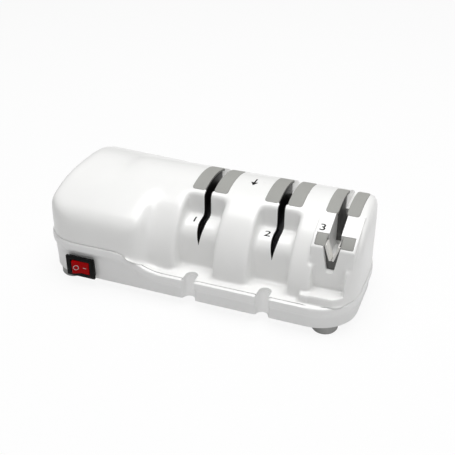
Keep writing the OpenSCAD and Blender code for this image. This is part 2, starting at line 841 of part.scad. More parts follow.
module stator_core() color(steel) difference() {
  along_x(stack_x0, stack_x1) {
    translate([pole_y0, stack_low]) square([pole_d, pole_h]);
    for (z = [stack_low, stack_high - limb_t]) translate([pole_y1 - 1, z]) square([limb_y1 - pole_y1 + 1, limb_t]);
    translate([limb_y0, stack_low]) square([limb_t, pole_h]);
  }
  shaft_bar(stack_x0 - 1, stack_x1 + 1, bore_r);
  for (side = [-1, 1]) translate([stack_x0 - 1, shaft_y + side * through_y, shaft_z]) rotate([0, 90, 0])
    cylinder(r = screw_r + hair, h = stack_t + 2);
  for (side = [0, 180], turn = [-ring_angle, ring_angle])
    translate([stack_x0 - 1, shaft_y, shaft_z]) rotate([side + turn, 0, 0]) translate([0, ring_pitch_r, 0])
      rotate([0, 90, 0]) cylinder(r = ring_wire_r + hair, h = stack_t + 2);
}

// A copper loop round each pole tip
module shading_rings() color(copper) for (side = [0, 180])
  translate([0, shaft_y, shaft_z]) rotate([side, 0, 0]) {
    z = ring_pitch_r * sin(ring_angle);
    y = ring_pitch_r * cos(ring_angle);
    for (up = [-1, 1]) translate([stack_x0 - 2 * ring_wire_r, y, up * z]) rotate([0, 90, 0])
      cylinder(r = ring_wire_r, h = stack_t + 4 * ring_wire_r);
    for (x = [stack_x0 - 2 * ring_wire_r, stack_x1])
      translate([x, y - ring_wire_r, -z]) cube([2 * ring_wire_r, 2 * ring_wire_r, 2 * z]);
  }

limb_low = stack_low + limb_t;
limb_high = stack_high - limb_t;
bobbin_wall = 1.2;
coil_depth = 0.7 * coil_room;

module limb_box(grow_y, grow_x, low, high) {
  box([stack_x0 - grow_x, limb_y0 - grow_y, low], [stack_x1 + grow_x, limb_y1 + grow_y, high]);
}

module coil_bobbin() color(black) difference() {
  union() {
    limb_box(bobbin_wall + fit, bobbin_wall + fit, limb_low + fit, limb_high - fit);
    for (z = [limb_low + fit, limb_high - fit - bobbin_wall])
      limb_box(coil_depth, coil_depth, z, z + bobbin_wall);
  }
  limb_box(fit, fit, limb_low - 1, limb_high + 1);
}

module coil_winding() color(copper) difference() {
  limb_box(coil_depth - 0.8, coil_depth - 0.8, limb_low + 2 * fit + bobbin_wall, limb_high - 2 * fit - bobbin_wall);
  limb_box(bobbin_wall + 2 * fit, bobbin_wall + 2 * fit, limb_low, limb_high);
}

bracket_gap = 8;
bracket_t = 3;
bracket_h = 12;

// A bearing bridge beside the stack; side -1 is the fan side
module motor_bracket(side) color(steel) translate([stator_x, 0, 0]) mirror([side < 0 ? 1 : 0, 0, 0]) {
  x0 = stack_t / 2;
  x1 = x0 + bracket_gap;
  difference() {
    union() {
      box([x1, pole_y0, shaft_z - bracket_h / 2], [x1 + bracket_t, pole_y1, shaft_z + bracket_h / 2]);
      for (y = [pole_y0, pole_y1 - leg_t])
        box([x0, y, shaft_z - bracket_h / 2], [x1 + 1, y + leg_t, shaft_z + bracket_h / 2]);
      translate([x1 - 2, shaft_y, shaft_z]) rotate([0, 90, 0]) cylinder(r = bush_r + 3, h = bush_l);
    }
    translate([x1 - 3, shaft_y, shaft_z]) rotate([0, 90, 0]) cylinder(r = bush_r + hair, h = bush_l + 2);
    for (s = [-1, 1]) translate([0, shaft_y + s * through_y, shaft_z]) rotate([0, 90, 0])
      cylinder(r = screw_r + hair, h = x1 + bracket_t + 1);
  }
}

module left_motor_bracket() motor_bracket(-1);
module right_motor_bracket() motor_bracket(1);

module bush(x0) color(bronze) difference() {
  shaft_bar(x0, x0 + bush_l, bush_r);
  shaft_bar(x0 - 1, x0 + bush_l + 1, shaft_r + run_clear);
}

bush_offset = stack_t / 2 + bracket_gap - 2;

module left_bush() bush(stator_x - bush_offset - bush_l);
module right_bush() bush(stator_x + bush_offset);
module outboard_bush() bush(pedestal_x - bush_l / 2);

module motor_screws() color(steel) for (side = [-1, 1])
  translate([stator_x + stack_t / 2 + bracket_gap + bracket_t + head_t, shaft_y + side * through_y, shaft_z])
    rotate([0, -90, 0]) screw(screw_r, stack_t + 2 * bracket_gap + 2 * bracket_t + 1);

module motor_saddle() color(steel) difference() {
  union() {
    box([stator_x - saddle_x - 4, pole_y0 + 2, saddle_low], [stator_x + saddle_x + 4, shaft_y + 20, stack_low]);
    box([stack_x0, pole_y0 - saddle_t, saddle_low], [stack_x1, pole_y0, stack_low + 14]);
    box([stack_x0, pole_y0 - saddle_t, saddle_low], [stack_x1, pole_y0 + 3, stack_low]);
  }
  for (p = saddle_points) translate([p[0], p[1], 0]) cylinder(r = screw_r, h = far);
}

module motor_rotor() color(steel) difference() {
  union() {
    shaft_bar(stack_x0, stack_x1, rotor_r);
    shaft_bar(stack_x0 - 3, stack_x1 + 3, rotor_r - 1.5);
  }
  shaft_bar(stack_x0 - 4, stack_x1 + 4, shaft_r + hair);
}

fan_x = -half_l + 9;
fan_l = 7;
fan_blades = 7;
shaft_x0 = fan_x - 0.6;
shaft_x1 = pedestal_x + bush_l / 2 + 1.5;

module cooling_fan() color(black) difference() {
  union() {
    shaft_bar(fan_x, fan_x + fan_l, 7);
    intersection() {
      shaft_bar(fan_x, fan_x + fan_l, fan_r);
      for (i = [0:fan_blades - 1]) translate([fan_x + fan_l / 2, shaft_y, shaft_z]) rotate([i * 360 / fan_blades, 0, 0])
        rotate([0, 0, 35]) translate([-fan_l, 0, 5]) cube([2 * fan_l, 1.2, fan_r]);
    }
  }
  shaft_bar(fan_x - 1, fan_x + fan_l + 1, shaft_r + hair);
}

// ---- stages ----

hub_r = 7;
wheel_l = 11;
clip_gap = wheel_l + 5.5 + float_travel;
clip_t = 0.8;

// Half of an abrasive pair: a bevelled disc and a hub, the bevel facing the slot
module abrasive_wheel(x, side, clear) color(steel) translate([x, shaft_y, shaft_z])
  rotate([0, side * 90, 0]) rotate_extrude()
    polygon([[shaft_r + clear, 0.8], [wheel_low_r, 0.8], [wheel_r, 5], [wheel_r, 8.5], [wheel_low_r, 9.5],
             [hub_r, 9.5], [hub_r, wheel_l], [shaft_r + clear, wheel_l]]);

module stage_1_fixed_wheel() abrasive_wheel(slot_1_x, -1, hair);
module stage_1_floating_wheel() abrasive_wheel(slot_1_x, 1, run_clear);
module stage_2_fixed_wheel() abrasive_wheel(slot_2_x, -1, hair);
module stage_2_floating_wheel() abrasive_wheel(slot_2_x, 1, run_clear);

module drive_shaft() color(steel) difference() {
  shaft_bar(shaft_x0, shaft_x1, shaft_r);
  for (x = slots) difference() {
    shaft_bar(x + clip_gap - 0.05, x + clip_gap + clip_t + 0.05, shaft_r + 1);
    shaft_bar(x + clip_gap - 1, x + clip_gap + 2, shaft_r - 0.5);
  }
}

module retaining_clips() color(steel) for (x = slots) difference() {
  shaft_bar(x + clip_gap, x + clip_gap + clip_t, shaft_r + 3);
  shaft_bar(x + clip_gap - 1, x + clip_gap + 2, shaft_r - 0.5 + hair);
  box([x + clip_gap - 1, shaft_y - 1.6, shaft_z], [x + clip_gap + 2, shaft_y + 1.6, shaft_z + 10]);
}

// ---- round wire swept along a list of points ----

function unit(v) = v / norm(v);
function tangent(path, i) =
  unit(path[min(i + 1, len(path) - 1)] - path[max(i - 1, 0)]);
function side_of(t, up) = unit(cross(t, up));

module wire(path, r, sides, up) {
  count = len(path);
  points = [for (i = [0:count - 1])
    let (t = tangent(path, i), a = side_of(t, up), b = cross(t, a))
    for (k = [0:sides - 1]) path[i] + r * (cos(k * 360 / sides) * a + sin(k * 360 / sides) * b)];
  quads = [for (i = [0:count - 2], k = [0:sides - 1])
    let (n = (k + 1) % sides, low = i * sides, high = (i + 1) * sides)
    each [[low + k, high + k, high + n], [low + k, high + n, low + n]]];
  caps = [for (k = [1:sides - 2]) each [[0, k, k + 1],
    [(count - 1) * sides, (count - 1) * sides + k + 1, (count - 1) * sides + k]]];
  polyhedron(points, concat(quads, caps));
}

spring_r = 5;
spring_wire_r = 0.45;
spring_turns = 4;
spring_rings = 8;
spring_gap = 0.3;

module spring(x) color(steel) {
  x0 = x + wheel_l + spring_gap + spring_wire_r;
  x1 = x + clip_gap - spring_gap - spring_wire_r;
  steps = spring_turns * spring_rings;
  wire([for (i = [0:steps]) let (turn = i * 360 / spring_rings)
    [x0 + (x1 - x0) * i / steps, shaft_y + spring_r * cos(turn), shaft_z + spring_r * sin(turn)]],
    spring_wire_r, 6, [1, 0, 0]);
}

module stage_1_spring() spring(slot_1_x);
module stage_2_spring() spring(slot_2_x);

module bearing_pedestal() color(black) difference() {
  union() {
    box([pedestal_x - 6, shaft_y - 16, pedestal_low], [pedestal_x + 6, shaft_y + 16, pedestal_low + 3]);
    box([pedestal_x - 2, shaft_y - bush_r - 3, pedestal_low], [pedestal_x + 2, shaft_y + bush_r + 3, shaft_z]);
    shaft_bar(pedestal_x - 2, pedestal_x + 2, bush_r + 3);
    for (p = pedestal_points) translate([p[0], p[1], pedestal_low]) cylinder(r = boss_r, h = 6.5);
  }
  shaft_bar(pedestal_x - 9, pedestal_x + 9, bush_r + hair);
  for (p = pedestal_points) translate([p[0], p[1], pedestal_low - 1]) cylinder(r = screw_r, h = 7.2);
}

// ---- mains side ----

gland_flange_r = 7;
gland_proud = 2.4;

// A collar outside the rear wall and a nut inside it
module cord_gland() color(black) difference() {
  translate([gland_x, -front_y - wall - 4, gland_z]) rotate([-90, 0, 0]) {
    cylinder(r = gland_r, h = wall + 4 + gland_proud);
    cylinder(r = gland_flange_r, h = 4 - fit);
    translate([0, 0, wall + 4 + fit]) cylinder(r = gland_flange_r, h = gland_proud - fit);
  }
  translate([gland_x, -front_y - wall - 5, gland_z]) rotate([-90, 0, 0])
    cylinder(r = gland_bore_r, h = wall + 6 + gland_proud);
}

block_x = gland_x + 12;
block_y = body_d / 2 - 23;
block_z = floor_z;

module terminal_block() color([0.85, 0.85, 0.8]) difference() {
  box([block_x, block_y, block_z], [block_x + 18, block_y + 12, block_z + 10]);
  for (x = [5, 13]) {
    translate([block_x + x, block_y - 1, block_z + 5]) rotate([-90, 0, 0]) cylinder(r = 1.8, h = 14);
    translate([block_x + x, block_y + 6, block_z + 5]) cylinder(r = 1.6, h = 8);
  }
}

lead_r = 1.1;
lead_touch = 0.15;
lead_z = floor_z + lead_r + 0.1;
lead_end_y = block_y - 0.2;
coil_y = (limb_y0 + limb_y1) / 2;
coil_face = coil_depth - 0.8;

module lead(path, tone) color(tone) wire(path, lead_r, 8, [0.1, 0.05, 1]);

// Terminal block to the switch
module live_lead() lead([[block_x + 5, lead_end_y, 13], [block_x + 5, lead_end_y - 5, 12], [block_x + 2, 20, lead_z],
                         [block_x - 8, 0, lead_z], [block_x - 14, -20, lead_z], [block_x - 20, -30, lead_z + 1],
                         [switch_x + 15, -30, 11], [switch_x + 6, -26, switch_z], [switch_x + 4, terminal_y + 8.2, switch_z]],
                        [0.45, 0.25, 0.1]);

// Switch to the coil
lead_x = stack_x0 - 13;

module switched_lead() lead([[switch_x - 4, terminal_y + 8.5, switch_z], [switch_x - 5, -26, switch_z - 1], [lead_x + 3, -24, 11],
                             [lead_x, -10, lead_z], [lead_x, 20, lead_z], [lead_x + 1, coil_y - 5, 13],
                             [lead_x + 3, coil_y, 22], [lead_x + 5, coil_y, shaft_z],
                             [stack_x0 - coil_face - lead_touch, coil_y, shaft_z]], [0.05, 0.05, 0.05]);

// Terminal block to the coil
module neutral_lead() lead([[block_x + 13, lead_end_y, 13], [block_x + 13, lead_end_y - 4, 13], [block_x + 6, 24, 19],
                            [block_x - 6, 28, 24], [stack_x1 + 13, coil_y - 1, 28], [stack_x1 + 9, coil_y, shaft_z],
                            [stack_x1 + coil_face + lead_touch, coil_y, shaft_z]],
                           [0.1, 0.25, 0.6]);

upper_housing();
lower_base();
switch_bezel();
switch_rocker();
switch_terminals();
stage_1_left_pad();
stage_1_right_pad();
stage_2_left_pad();
stage_2_right_pad();
stage_1_left_guide();
stage_1_right_guide();
stage_2_left_guide();
stage_2_right_guide();
stage_3_rear_guide();
stage_3_ceramic_holder();
stage_3_left_ceramic();
stage_3_right_ceramic();
front_left_foot();
front_right_foot();
rear_left_foot();
rear_right_foot();
foot_screws();
case_screws();
drive_shaft();
motor_rotor();
stator_core();
shading_rings();
coil_bobbin();
coil_winding();
left_motor_bracket();
right_motor_bracket();
left_bush();
right_bush();
outboard_bush();
bearing_pedestal();
pedestal_screws();
motor_screws();
motor_saddle();
saddle_screws();
cooling_fan();
stage_1_fixed_wheel();
stage_1_floating_wheel();
stage_1_spring();
stage_2_fixed_wheel();
stage_2_floating_wheel();
stage_2_spring();
retaining_clips();
cord_gland();
terminal_block();
live_lead();
neutral_lead();
switched_lead();
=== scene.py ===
# %% [markdown]
# # A three-stage electric knife sharpener
# The real one is a white moulded case with a motor at its left end and three slots along its crest.
# Two slots have grinding wheels under them, and the third has a V of two ceramic plates.
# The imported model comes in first, as a fixed frame. Its nodes are exact solids with plain looks, so
# everything below either gives a node a finish or puts a modelled piece in its place.

# %% Load the frame
import bpy
import json
import math
from mathutils import Matrix, Vector


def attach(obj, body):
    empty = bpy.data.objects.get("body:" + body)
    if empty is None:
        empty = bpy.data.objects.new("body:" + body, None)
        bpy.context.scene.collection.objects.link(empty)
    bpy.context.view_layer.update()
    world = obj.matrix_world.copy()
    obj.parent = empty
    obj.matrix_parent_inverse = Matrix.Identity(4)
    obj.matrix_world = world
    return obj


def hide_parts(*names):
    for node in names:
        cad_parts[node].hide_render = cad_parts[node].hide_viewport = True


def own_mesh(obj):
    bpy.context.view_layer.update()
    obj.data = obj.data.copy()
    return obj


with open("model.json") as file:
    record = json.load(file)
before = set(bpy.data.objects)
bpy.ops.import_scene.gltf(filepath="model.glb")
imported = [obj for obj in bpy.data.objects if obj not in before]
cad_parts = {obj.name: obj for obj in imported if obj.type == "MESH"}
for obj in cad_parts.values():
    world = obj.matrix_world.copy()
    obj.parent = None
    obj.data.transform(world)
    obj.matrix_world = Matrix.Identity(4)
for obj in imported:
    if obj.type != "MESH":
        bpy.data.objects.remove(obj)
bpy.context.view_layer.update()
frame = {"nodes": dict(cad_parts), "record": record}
nodes = frame["nodes"]

# %% [markdown]
# The picture was taken from the right of the front and from above. A camera can be matched by eye, or
# from lines whose direction is known. Here the body's long edges, which run along X, gave the turn and
# the tilt, and the size of the switch gave the distance.

# %% Camera
PHOTO_WIDTH, FOCAL_LENGTH = 455, 776  # pixels
SENSOR_WIDTH = 36
TURN, TILT = math.radians(21.3), math.radians(30)
bpy.ops.object.camera_add(location=(0.1775, -0.4334, 0.3018), rotation=(math.pi / 2 - TILT, 0, TURN))
camera = bpy.context.object
camera.data.sensor_width = SENSOR_WIDTH
camera.data.lens = FOCAL_LENGTH / PHOTO_WIDTH * SENSOR_WIDTH
bpy.context.scene.camera = camera
print("camera: lens %.1f mm" % camera.data.lens)

# %% [markdown]
# This is a studio shot on white. A floor that the lamps alone make white would need so much light that
# the white plastic lost its shades. So the floor is nine parts glow to the camera, and an ordinary pale
# floor to the light, which leaves a faint shadow under the body.

# %% Floor
FLOOR_TONE, FLOOR_GLOW = 0.82, 0.9
bpy.ops.mesh.primitive_plane_add(size=6, location=(0, 0, 0))
floor = bpy.context.object
floor.name = "floor"
sheet = bpy.data.materials.new("floor_white")
sheet.use_nodes = True
tree = sheet.node_tree
tree.nodes.clear()
shade = tree.nodes.new("ShaderNodeBsdfDiffuse")
shade.inputs["Color"].default_value = (FLOOR_TONE, FLOOR_TONE, FLOOR_TONE, 1)
glow = tree.nodes.new("ShaderNodeEmission")
glow.inputs["Strength"].default_value = 1
path = tree.nodes.new("ShaderNodeLightPath")
share = tree.nodes.new("ShaderNodeMath")
share.operation = "MULTIPLY"
share.inputs[1].default_value = FLOOR_GLOW
mixed = tree.nodes.new("ShaderNodeMixShader")
output = tree.nodes.new("ShaderNodeOutputMaterial")
tree.links.new(path.outputs["Is Camera Ray"], share.inputs[0])
tree.links.new(share.outputs[0], mixed.inputs[0])
tree.links.new(shade.outputs[0], mixed.inputs[1])
tree.links.new(glow.outputs[0], mixed.inputs[2])
tree.links.new(mixed.outputs[0], output.inputs["Surface"])
floor.data.materials.append(sheet)
print("floor: tone", FLOOR_TONE)

# %% [markdown]
# The surround works the same way: white where the camera sees it, and much dimmer as a light, so that
# the faces turned away from the lamps stay shaded.

# %% Surround
SURROUND_LIGHT = 0.2
world = bpy.data.worlds.new("surround")
bpy.context.scene.world = world
world.use_nodes = True
tree = world.node_tree
tree.nodes.clear()
even = tree.nodes.new("ShaderNodeBackground")
even.inputs["Color"].default_value = (1, 1, 1, 1)
even.inputs["Strength"].default_value = SURROUND_LIGHT
white = tree.nodes.new("ShaderNodeBackground")
white.inputs["Color"].default_value = (1, 1, 1, 1)
white.inputs["Strength"].default_value = 1
path = tree.nodes.new("ShaderNodeLightPath")
mixed = tree.nodes.new("ShaderNodeMixShader")
output = tree.nodes.new("ShaderNodeOutputWorld")
tree.links.new(path.outputs["Is Camera Ray"], mixed.inputs[0])
tree.links.new(even.outputs[0], mixed.inputs[1])
tree.links.new(white.outputs[0], mixed.inputs[2])
tree.links.new(mixed.outputs[0], output.inputs["Surface"])
print("surround: strength", SURROUND_LIGHT)

# %% [markdown]
# In the photograph the crest is nearly white and upright faces are light grey, so the main light hangs
# straight above. It is wide, which keeps the shadows soft. Two weak lamps, behind and at the right,
# lift the far shoulder and the end wall. A lamp shines along its own -Z, which is turned to its aim.

# %% Lamps
AIM = (0, 0, 0.03)


def lamp(name, place, size, watts):
    bpy.ops.object.light_add(type="AREA", location=place)
    light = bpy.context.object
    light.name = name
    light.data.size = size
    light.data.energy = watts
    light.rotation_euler = (Vector(AIM) - Vector(place)).to_track_quat("-Z", "Y").to_euler()


lamp("top_lamp", (0.05, -0.02, 1.1), 0.9, 12.4)
lamp("rear_lamp", (0.2, 0.8, 0.9), 0.8, 1)
lamp("right_lamp", (1.1, -0.3, 0.6), 0.8, 1.2)
bpy.context.scene.view_settings.view_transform = "Standard"
print("light: three lamps")

# %% [markdown]
# All sizes below are in millimetres, as on a drawing, and MM turns them into metres where Blender
# takes them. A shape starts as a block or a drum. Its place and size go into its mesh at once, so that
# every object stands at the origin and pieces can be measured against each other.

# %% Blocks and drums
MM = 0.001


def only(piece):
    bpy.ops.object.select_all(action="DESELECT")
    piece.select_set(True)
    bpy.context.view_layer.objects.active = piece


def settle(piece, name):
    piece.name = name
    only(piece)
    bpy.ops.object.transform_apply(location=True, rotation=True, scale=True)
    return piece


def block(name, low, high):
    bpy.ops.object.select_all(action="DESELECT")
    bpy.ops.mesh.primitive_cube_add(size=1, location=[(a + b) / 2 * MM for a, b in zip(low, high)])
    piece = bpy.context.object
    piece.scale = [(b - a) * MM for a, b in zip(low, high)]
    return settle(piece, name)


def drum(name, centre, radius, length, turn=(0, 90, 0), sides=128):
    bpy.ops.object.select_all(action="DESELECT")
    bpy.ops.mesh.primitive_cylinder_add(vertices=sides, radius=radius * MM, depth=length * MM,
                                        location=[c * MM for c in centre],
                                        rotation=[math.radians(a) for a in turn])
    return settle(bpy.context.object, name)


print("blocks and drums ready")

# %% [markdown]
# Shapes are joined, cut and overlapped by the Boolean modifier, which is applied at once. The tool
# shapes are used up by it. The Manifold solver is quick and keeps closed shapes closed.

# %% Modifiers and Booleans
def use(piece, kind, **values):
    only(piece)
    step = piece.modifiers.new(kind.lower(), kind)
    for key, value in values.items():
        setattr(step, key, value)
    bpy.ops.object.modifier_apply(modifier=step.name)


def combine(piece, how, *tools):
    for tool in tools:
        use(piece, "BOOLEAN", operation=how, object=tool, solver="MANIFOLD")
        bpy.data.objects.remove(tool, do_unlink=True)
    return piece


print("modifiers ready")

# %% [markdown]
# Edges are picked in code, by a rule on their two end points, and rounded by the bevel operator. A
# cut along a plane is a bisect that fills its own hole and throws away what lies beyond.

# %% Rounded edges, plane cuts and turned pieces
def near(value, target, room=0.05):
    return abs(value - target) < room


def upright(a, b):
    return near(a.x, b.x) and near(a.y, b.y)


def select_edges(piece, rule):
    only(piece)
    bpy.ops.object.mode_set(mode="EDIT")
    bpy.ops.mesh.select_mode(type="EDGE")
    bpy.ops.mesh.select_all(action="DESELECT")
    bpy.ops.object.mode_set(mode="OBJECT")
    points = piece.data.vertices
    for edge in piece.data.edges:
        a, b = (points[i].co / MM for i in edge.vertices)
        edge.select = bool(rule(a, b))
    bpy.ops.object.mode_set(mode="EDIT")


def round_edges(piece, radius, steps, rule):
    select_edges(piece, rule)
    bpy.ops.mesh.bevel(offset=radius * MM, segments=steps, affect="EDGES", offset_type="OFFSET")
    bpy.ops.object.mode_set(mode="OBJECT")
    return piece


def cut_beyond(piece, point, direction):
    only(piece)
    bpy.ops.object.mode_set(mode="EDIT")
    bpy.ops.mesh.select_all(action="SELECT")
    bpy.ops.mesh.bisect(plane_co=Vector(point) * MM, plane_no=direction, use_fill=True, clear_outer=True)
    bpy.ops.object.mode_set(mode="OBJECT")
    return piece


def turn_about(piece, centre, degrees, axis):
    spot = Vector(centre) * MM
    piece.data.transform(Matrix.Translation(spot) @ Matrix.Rotation(math.radians(degrees), 4, axis)
                         @ Matrix.Translation(-spot))
    return piece


print("edges ready")

# %% [markdown]
# The two mouldings meet along a seam that stands high round the motor, drops in an S-bend and runs
# low past the stages. Both need the same curve, so it is one function. A block under it could be
# lofted, but it is simpler to cut a plain block into strips across the bend and to lower each row of
# its top points to the curve.

# %% The seam
SEAM_LOW, SEAM_HIGH, BEND_X, BEND_L, STRIPS = 21.4, 31.5, -36, 36, 14
OVER_X, OVER_Y = 140, 80  # past the body on every side


def seam_at(x):
    t = min(max((x - BEND_X) / BEND_L + 0.5, 0), 1)
    return SEAM_LOW + (SEAM_HIGH - SEAM_LOW) * (1 + math.cos(math.pi * t)) / 2


def under_seam(name, lift):
    piece = block(name, (-OVER_X, -OVER_Y, -20), (OVER_X, OVER_Y, SEAM_HIGH + lift))
    steps = [BEND_X + BEND_L * (i / STRIPS - 0.5) for i in range(STRIPS + 1)]
    bpy.ops.object.mode_set(mode="EDIT")
    for x in steps:
        bpy.ops.mesh.select_all(action="SELECT")
        bpy.ops.mesh.bisect(plane_co=(x * MM, 0, 0), plane_no=(1, 0, 0))
    bpy.ops.mesh.select_mode(type="VERT")
    for x in steps + [OVER_X]:
        bpy.ops.mesh.select_all(action="DESELECT")
        bpy.ops.object.mode_set(mode="OBJECT")
        for point in piece.data.vertices:
            point.select = near(point.co.x / MM, x) and point.co.z > 0
        bpy.ops.object.mode_set(mode="EDIT")
        bpy.ops.transform.translate(value=(0, 0, (seam_at(x) - SEAM_HIGH) * MM))
    bpy.ops.object.mode_set(mode="OBJECT")
    return piece


print("seam: %.1f mm at the motor, %.1f mm at the stages" % (seam_at(-100), seam_at(100)))

# %% [markdown]
# Seen from above, the body has tighter corners in front and larger ones at the back, where the ends
# curve inwards. The outline is made at a chosen inset, because the walls, the ledge and the hollow
# all follow it.

# %% Plan of the body
BODY_L, BODY_W = 220, 110
CORNERS = {(-1, -1): 28, (1, -1): 28, (-1, 1): 34.1, (1, 1): 53.9}  # radius by end and by side
SLOTS = {1: 2.0, 2: 52.5}  # where the powered slots lie along X
THIRD = 91.0  # and the third


def corner_edge(x, y):
    return lambda a, b: upright(a, b) and near(a.x, x) and near(a.y, y)


def plan(name, inset, low, high):
    x, y = BODY_L / 2 - inset, BODY_W / 2 - inset
    piece = block(name, (-x, -y, low), (x, y, high))
    for (side, back), radius in CORNERS.items():
        round_edges(piece, radius - inset, 24, corner_edge(side * x, back * y))
    return piece


print("plan:", BODY_L, "x", BODY_W, "mm")

# %% [markdown]
# Seen from the front, the body has a level crest, an upright right end and a left end that leans
# inwards. This elevation is one block that the dome and the arch are both cut to.

# %% Elevation
TOP, LEFT_END, RIGHT_END, CREST_R = 71.2, -109, 109.6, 9
END_LEAN = math.radians(12)


def elevation(inset):
    top = TOP - inset
    piece = block("elevation", (-135, -90, -30), (RIGHT_END - inset, 90, top))
    end = LEFT_END + inset / math.cos(END_LEAN)
    cut_beyond(piece, (end, 0, SEAM_HIGH), (-math.cos(END_LEAN), 0, math.sin(END_LEAN)))

    def across_top(a, b):
        return near(a.z, top) and near(b.z, top) and near(a.x, b.x)

    blunt = math.tan((math.pi / 2 - END_LEAN) / 2)  # the leaning end meets the crest at a blunt angle
    round_edges(piece, (CREST_R - inset) * blunt, 14, lambda a, b: across_top(a, b) and a.x < 0)
    return round_edges(piece, CREST_R - inset, 10, lambda a, b: across_top(a, b) and a.x > 0)


print("elevation: %.1f mm high" % TOP)

# %% [markdown]
# The motor dome is a shallow crown between sloping shoulders, a little higher at its far end. The
# crown is part of a wide drum and the shoulders are a block with rounded edges. The stages sit under
# an arch, whose cross-section is part of one circle. Each is made at a chosen inset, once for the
# outside and once, a wall's thickness in, for the hollow.

# %% Forms of the dome and the arch
DOME_HALF, SHOULDER_H, SHOULDER_R = 54, 59, 16
CROWN_R, CROWN_Z, CROWN_HALF = 82, -11.2, 47.2
DOME_RISE = 1.9  # degrees
STEP_X, STEP_R = -31, 10
STEP_LEAN = math.radians(6)  # the dome steps back to the arch along a slanting line
ARCH_Y, ARCH_R, ARCH_HALF = 2, 50, 48.8
ARCH_Z = TOP - ARCH_R


def dome(inset):
    half, height = DOME_HALF - inset, SHOULDER_H - inset
    form = block("dome", (-130, -half, -40), (10, half, height))
    round_edges(form, SHOULDER_R - inset, 12,
                lambda a, b: near(a.z, height) and near(b.z, height) and near(a.y, b.y))
    crown = drum("crown", (-60, 0, CROWN_Z), CROWN_R - inset, 139.9, sides=256)
    edge = CROWN_HALF - 0.55 * inset
    combine(crown, "INTERSECT", block("middle", (-131, -edge, 20), (11, edge, 90)))
    combine(form, "UNION", crown)
    turn_about(form, (-99, 0, 70.8), DOME_RISE, "Y")
    left = LEFT_END + inset
    set_back = BODY_L / 2 + LEFT_END  # how far the dome's end stands inside the plan
    walls = block("walls", (left, -half, -10), (0, half, 95))
    for back in (-1, 1):
        round_edges(walls, CORNERS[-1, back] - set_back - inset, 20, corner_edge(left, back * half))
    cut_beyond(walls, (STEP_X - inset, 0, 32), (math.cos(STEP_LEAN), 0, math.sin(STEP_LEAN)))
    round_edges(walls, STEP_R - inset, 10,
                lambda a, b: near(a.y, b.y) and near(abs(a.y), half) and min(a.x, b.x) > -60
                and abs(a.x - b.x) > 1 and abs(a.z - b.z) > 50)
    return combine(form, "INTERSECT", walls, elevation(inset))


def arch(inset):
    form = drum("arch", (26, ARCH_Y, ARCH_Z), ARCH_R - inset, 176, sides=192)
    half = ARCH_HALF - inset
    sides = block("sides", (-70, ARCH_Y - half, -10), (120, ARCH_Y + half, 90))
    return combine(form, "INTERSECT", sides, plan("corners", inset + 0.8, -20, 90), elevation(inset))


print("forms: dome and arch")

# %% [markdown]
# A knife is drawn through each slot towards the user, so the arch is cut back in front of the slot to
# an upright wall, and a knife rest with a round shoulder is left standing. In front of the third stage
# it is cut down to a raised floor. A grown bay leaves a wall round the same space, for the hollow.

# %% Forms of the bays and the knife rests
BAY_HALF, REST_Y, REST_H, REST_R, WALL_Y = 13.25, -35.7, 51.3, 12, -19
BLOCK_Y, FLOOR_Y, FLOOR_H = -39.5, -50, 27
STEP_H, STEP_IN = 44, 3  # below this height the third bay is this much narrower on either side


def bay(x, grow):
    low = SEAM_LOW - (grow or 0.6)
    form = block("bay", (x - BAY_HALF - grow, -150, low), (x + BAY_HALF + grow, WALL_Y + grow, 150))
    front, top = REST_Y + grow, REST_H - grow
    rest = block("rest", (x - 40, front, -10), (x + 40, 70, top))
    round_edges(rest, REST_R - grow, 14,
                lambda a, b: near(a.y, front) and near(b.y, front) and near(a.z, top) and near(b.z, top))
    return combine(form, "DIFFERENCE", rest)


def third_bay(grow):
    wide, low, back = BAY_HALF + grow, SEAM_LOW - (grow or 0.6), BLOCK_Y + grow
    narrow = wide - STEP_IN
    form = block("front", (THIRD - wide, -150, STEP_H - grow), (THIRD + wide, back, 150))
    under = block("under", (THIRD - narrow, -149, FLOOR_H - grow), (THIRD + narrow, back - 0.01, 149))
    low_front = block("low_front", (THIRD - narrow - 1, -151, low), (THIRD + narrow + 1, FLOOR_Y + grow, 30))
    return combine(form, "UNION", under, low_front)


print("forms: two bays and the third stage's")

# %% [markdown]
# The third stage has a block of its own, whose top slopes up to the arch and has a steeper facet along
# its front. Its edges are sharper than those of the rest of the moulding, so it is made apart and
# joined on after the softening.

# %% Form of the third stage's block
BLOCK_TOP, NOSE_H, NOSE_RISE, PAD_FRONT = 59.2, 56, 0.8, 17.5
BLOCK_BACK_Z = ARCH_Z + math.sqrt(ARCH_R ** 2 - PAD_FRONT ** 2)
BLOCK_RISE = (BLOCK_BACK_Z - BLOCK_TOP) / (ARCH_Y - PAD_FRONT - BLOCK_Y - 2)


def cut_above(piece, y, z, rise):
    return cut_beyond(piece, (0, y, z), (0, -rise, 1))


def under_slopes(piece, inset):
    cut_above(piece, BLOCK_Y + 2, BLOCK_TOP - inset, BLOCK_RISE)
    return cut_above(piece, BLOCK_Y, NOSE_H - inset * math.hypot(1, NOSE_RISE), NOSE_RISE)


def third_block(inset):
    left, right = THIRD - BAY_HALF + inset, THIRD + BAY_HALF + 1.5 - inset
    form = block("third_block", (left, BLOCK_Y + inset, 18), (right, ARCH_Y, 90))
    under_slopes(form, inset)
    return cut_above(form, 0, BLOCK_BACK_Z - inset, 0)


print("block: its top rises %.2f mm per mm" % BLOCK_RISE)

# %% [markdown]
# The block is notched by a V with a flat bottom. It could be an extruded outline. Here it is a block
# whose top points are moved apart, which keeps the low width and the slope as two plain sizes.

# %% Form of the V
VEE_LOW, VEE_W, VEE_TOP_W = 40.4, 4.9, 11.6  # its bottom, its width there, and at the block's top


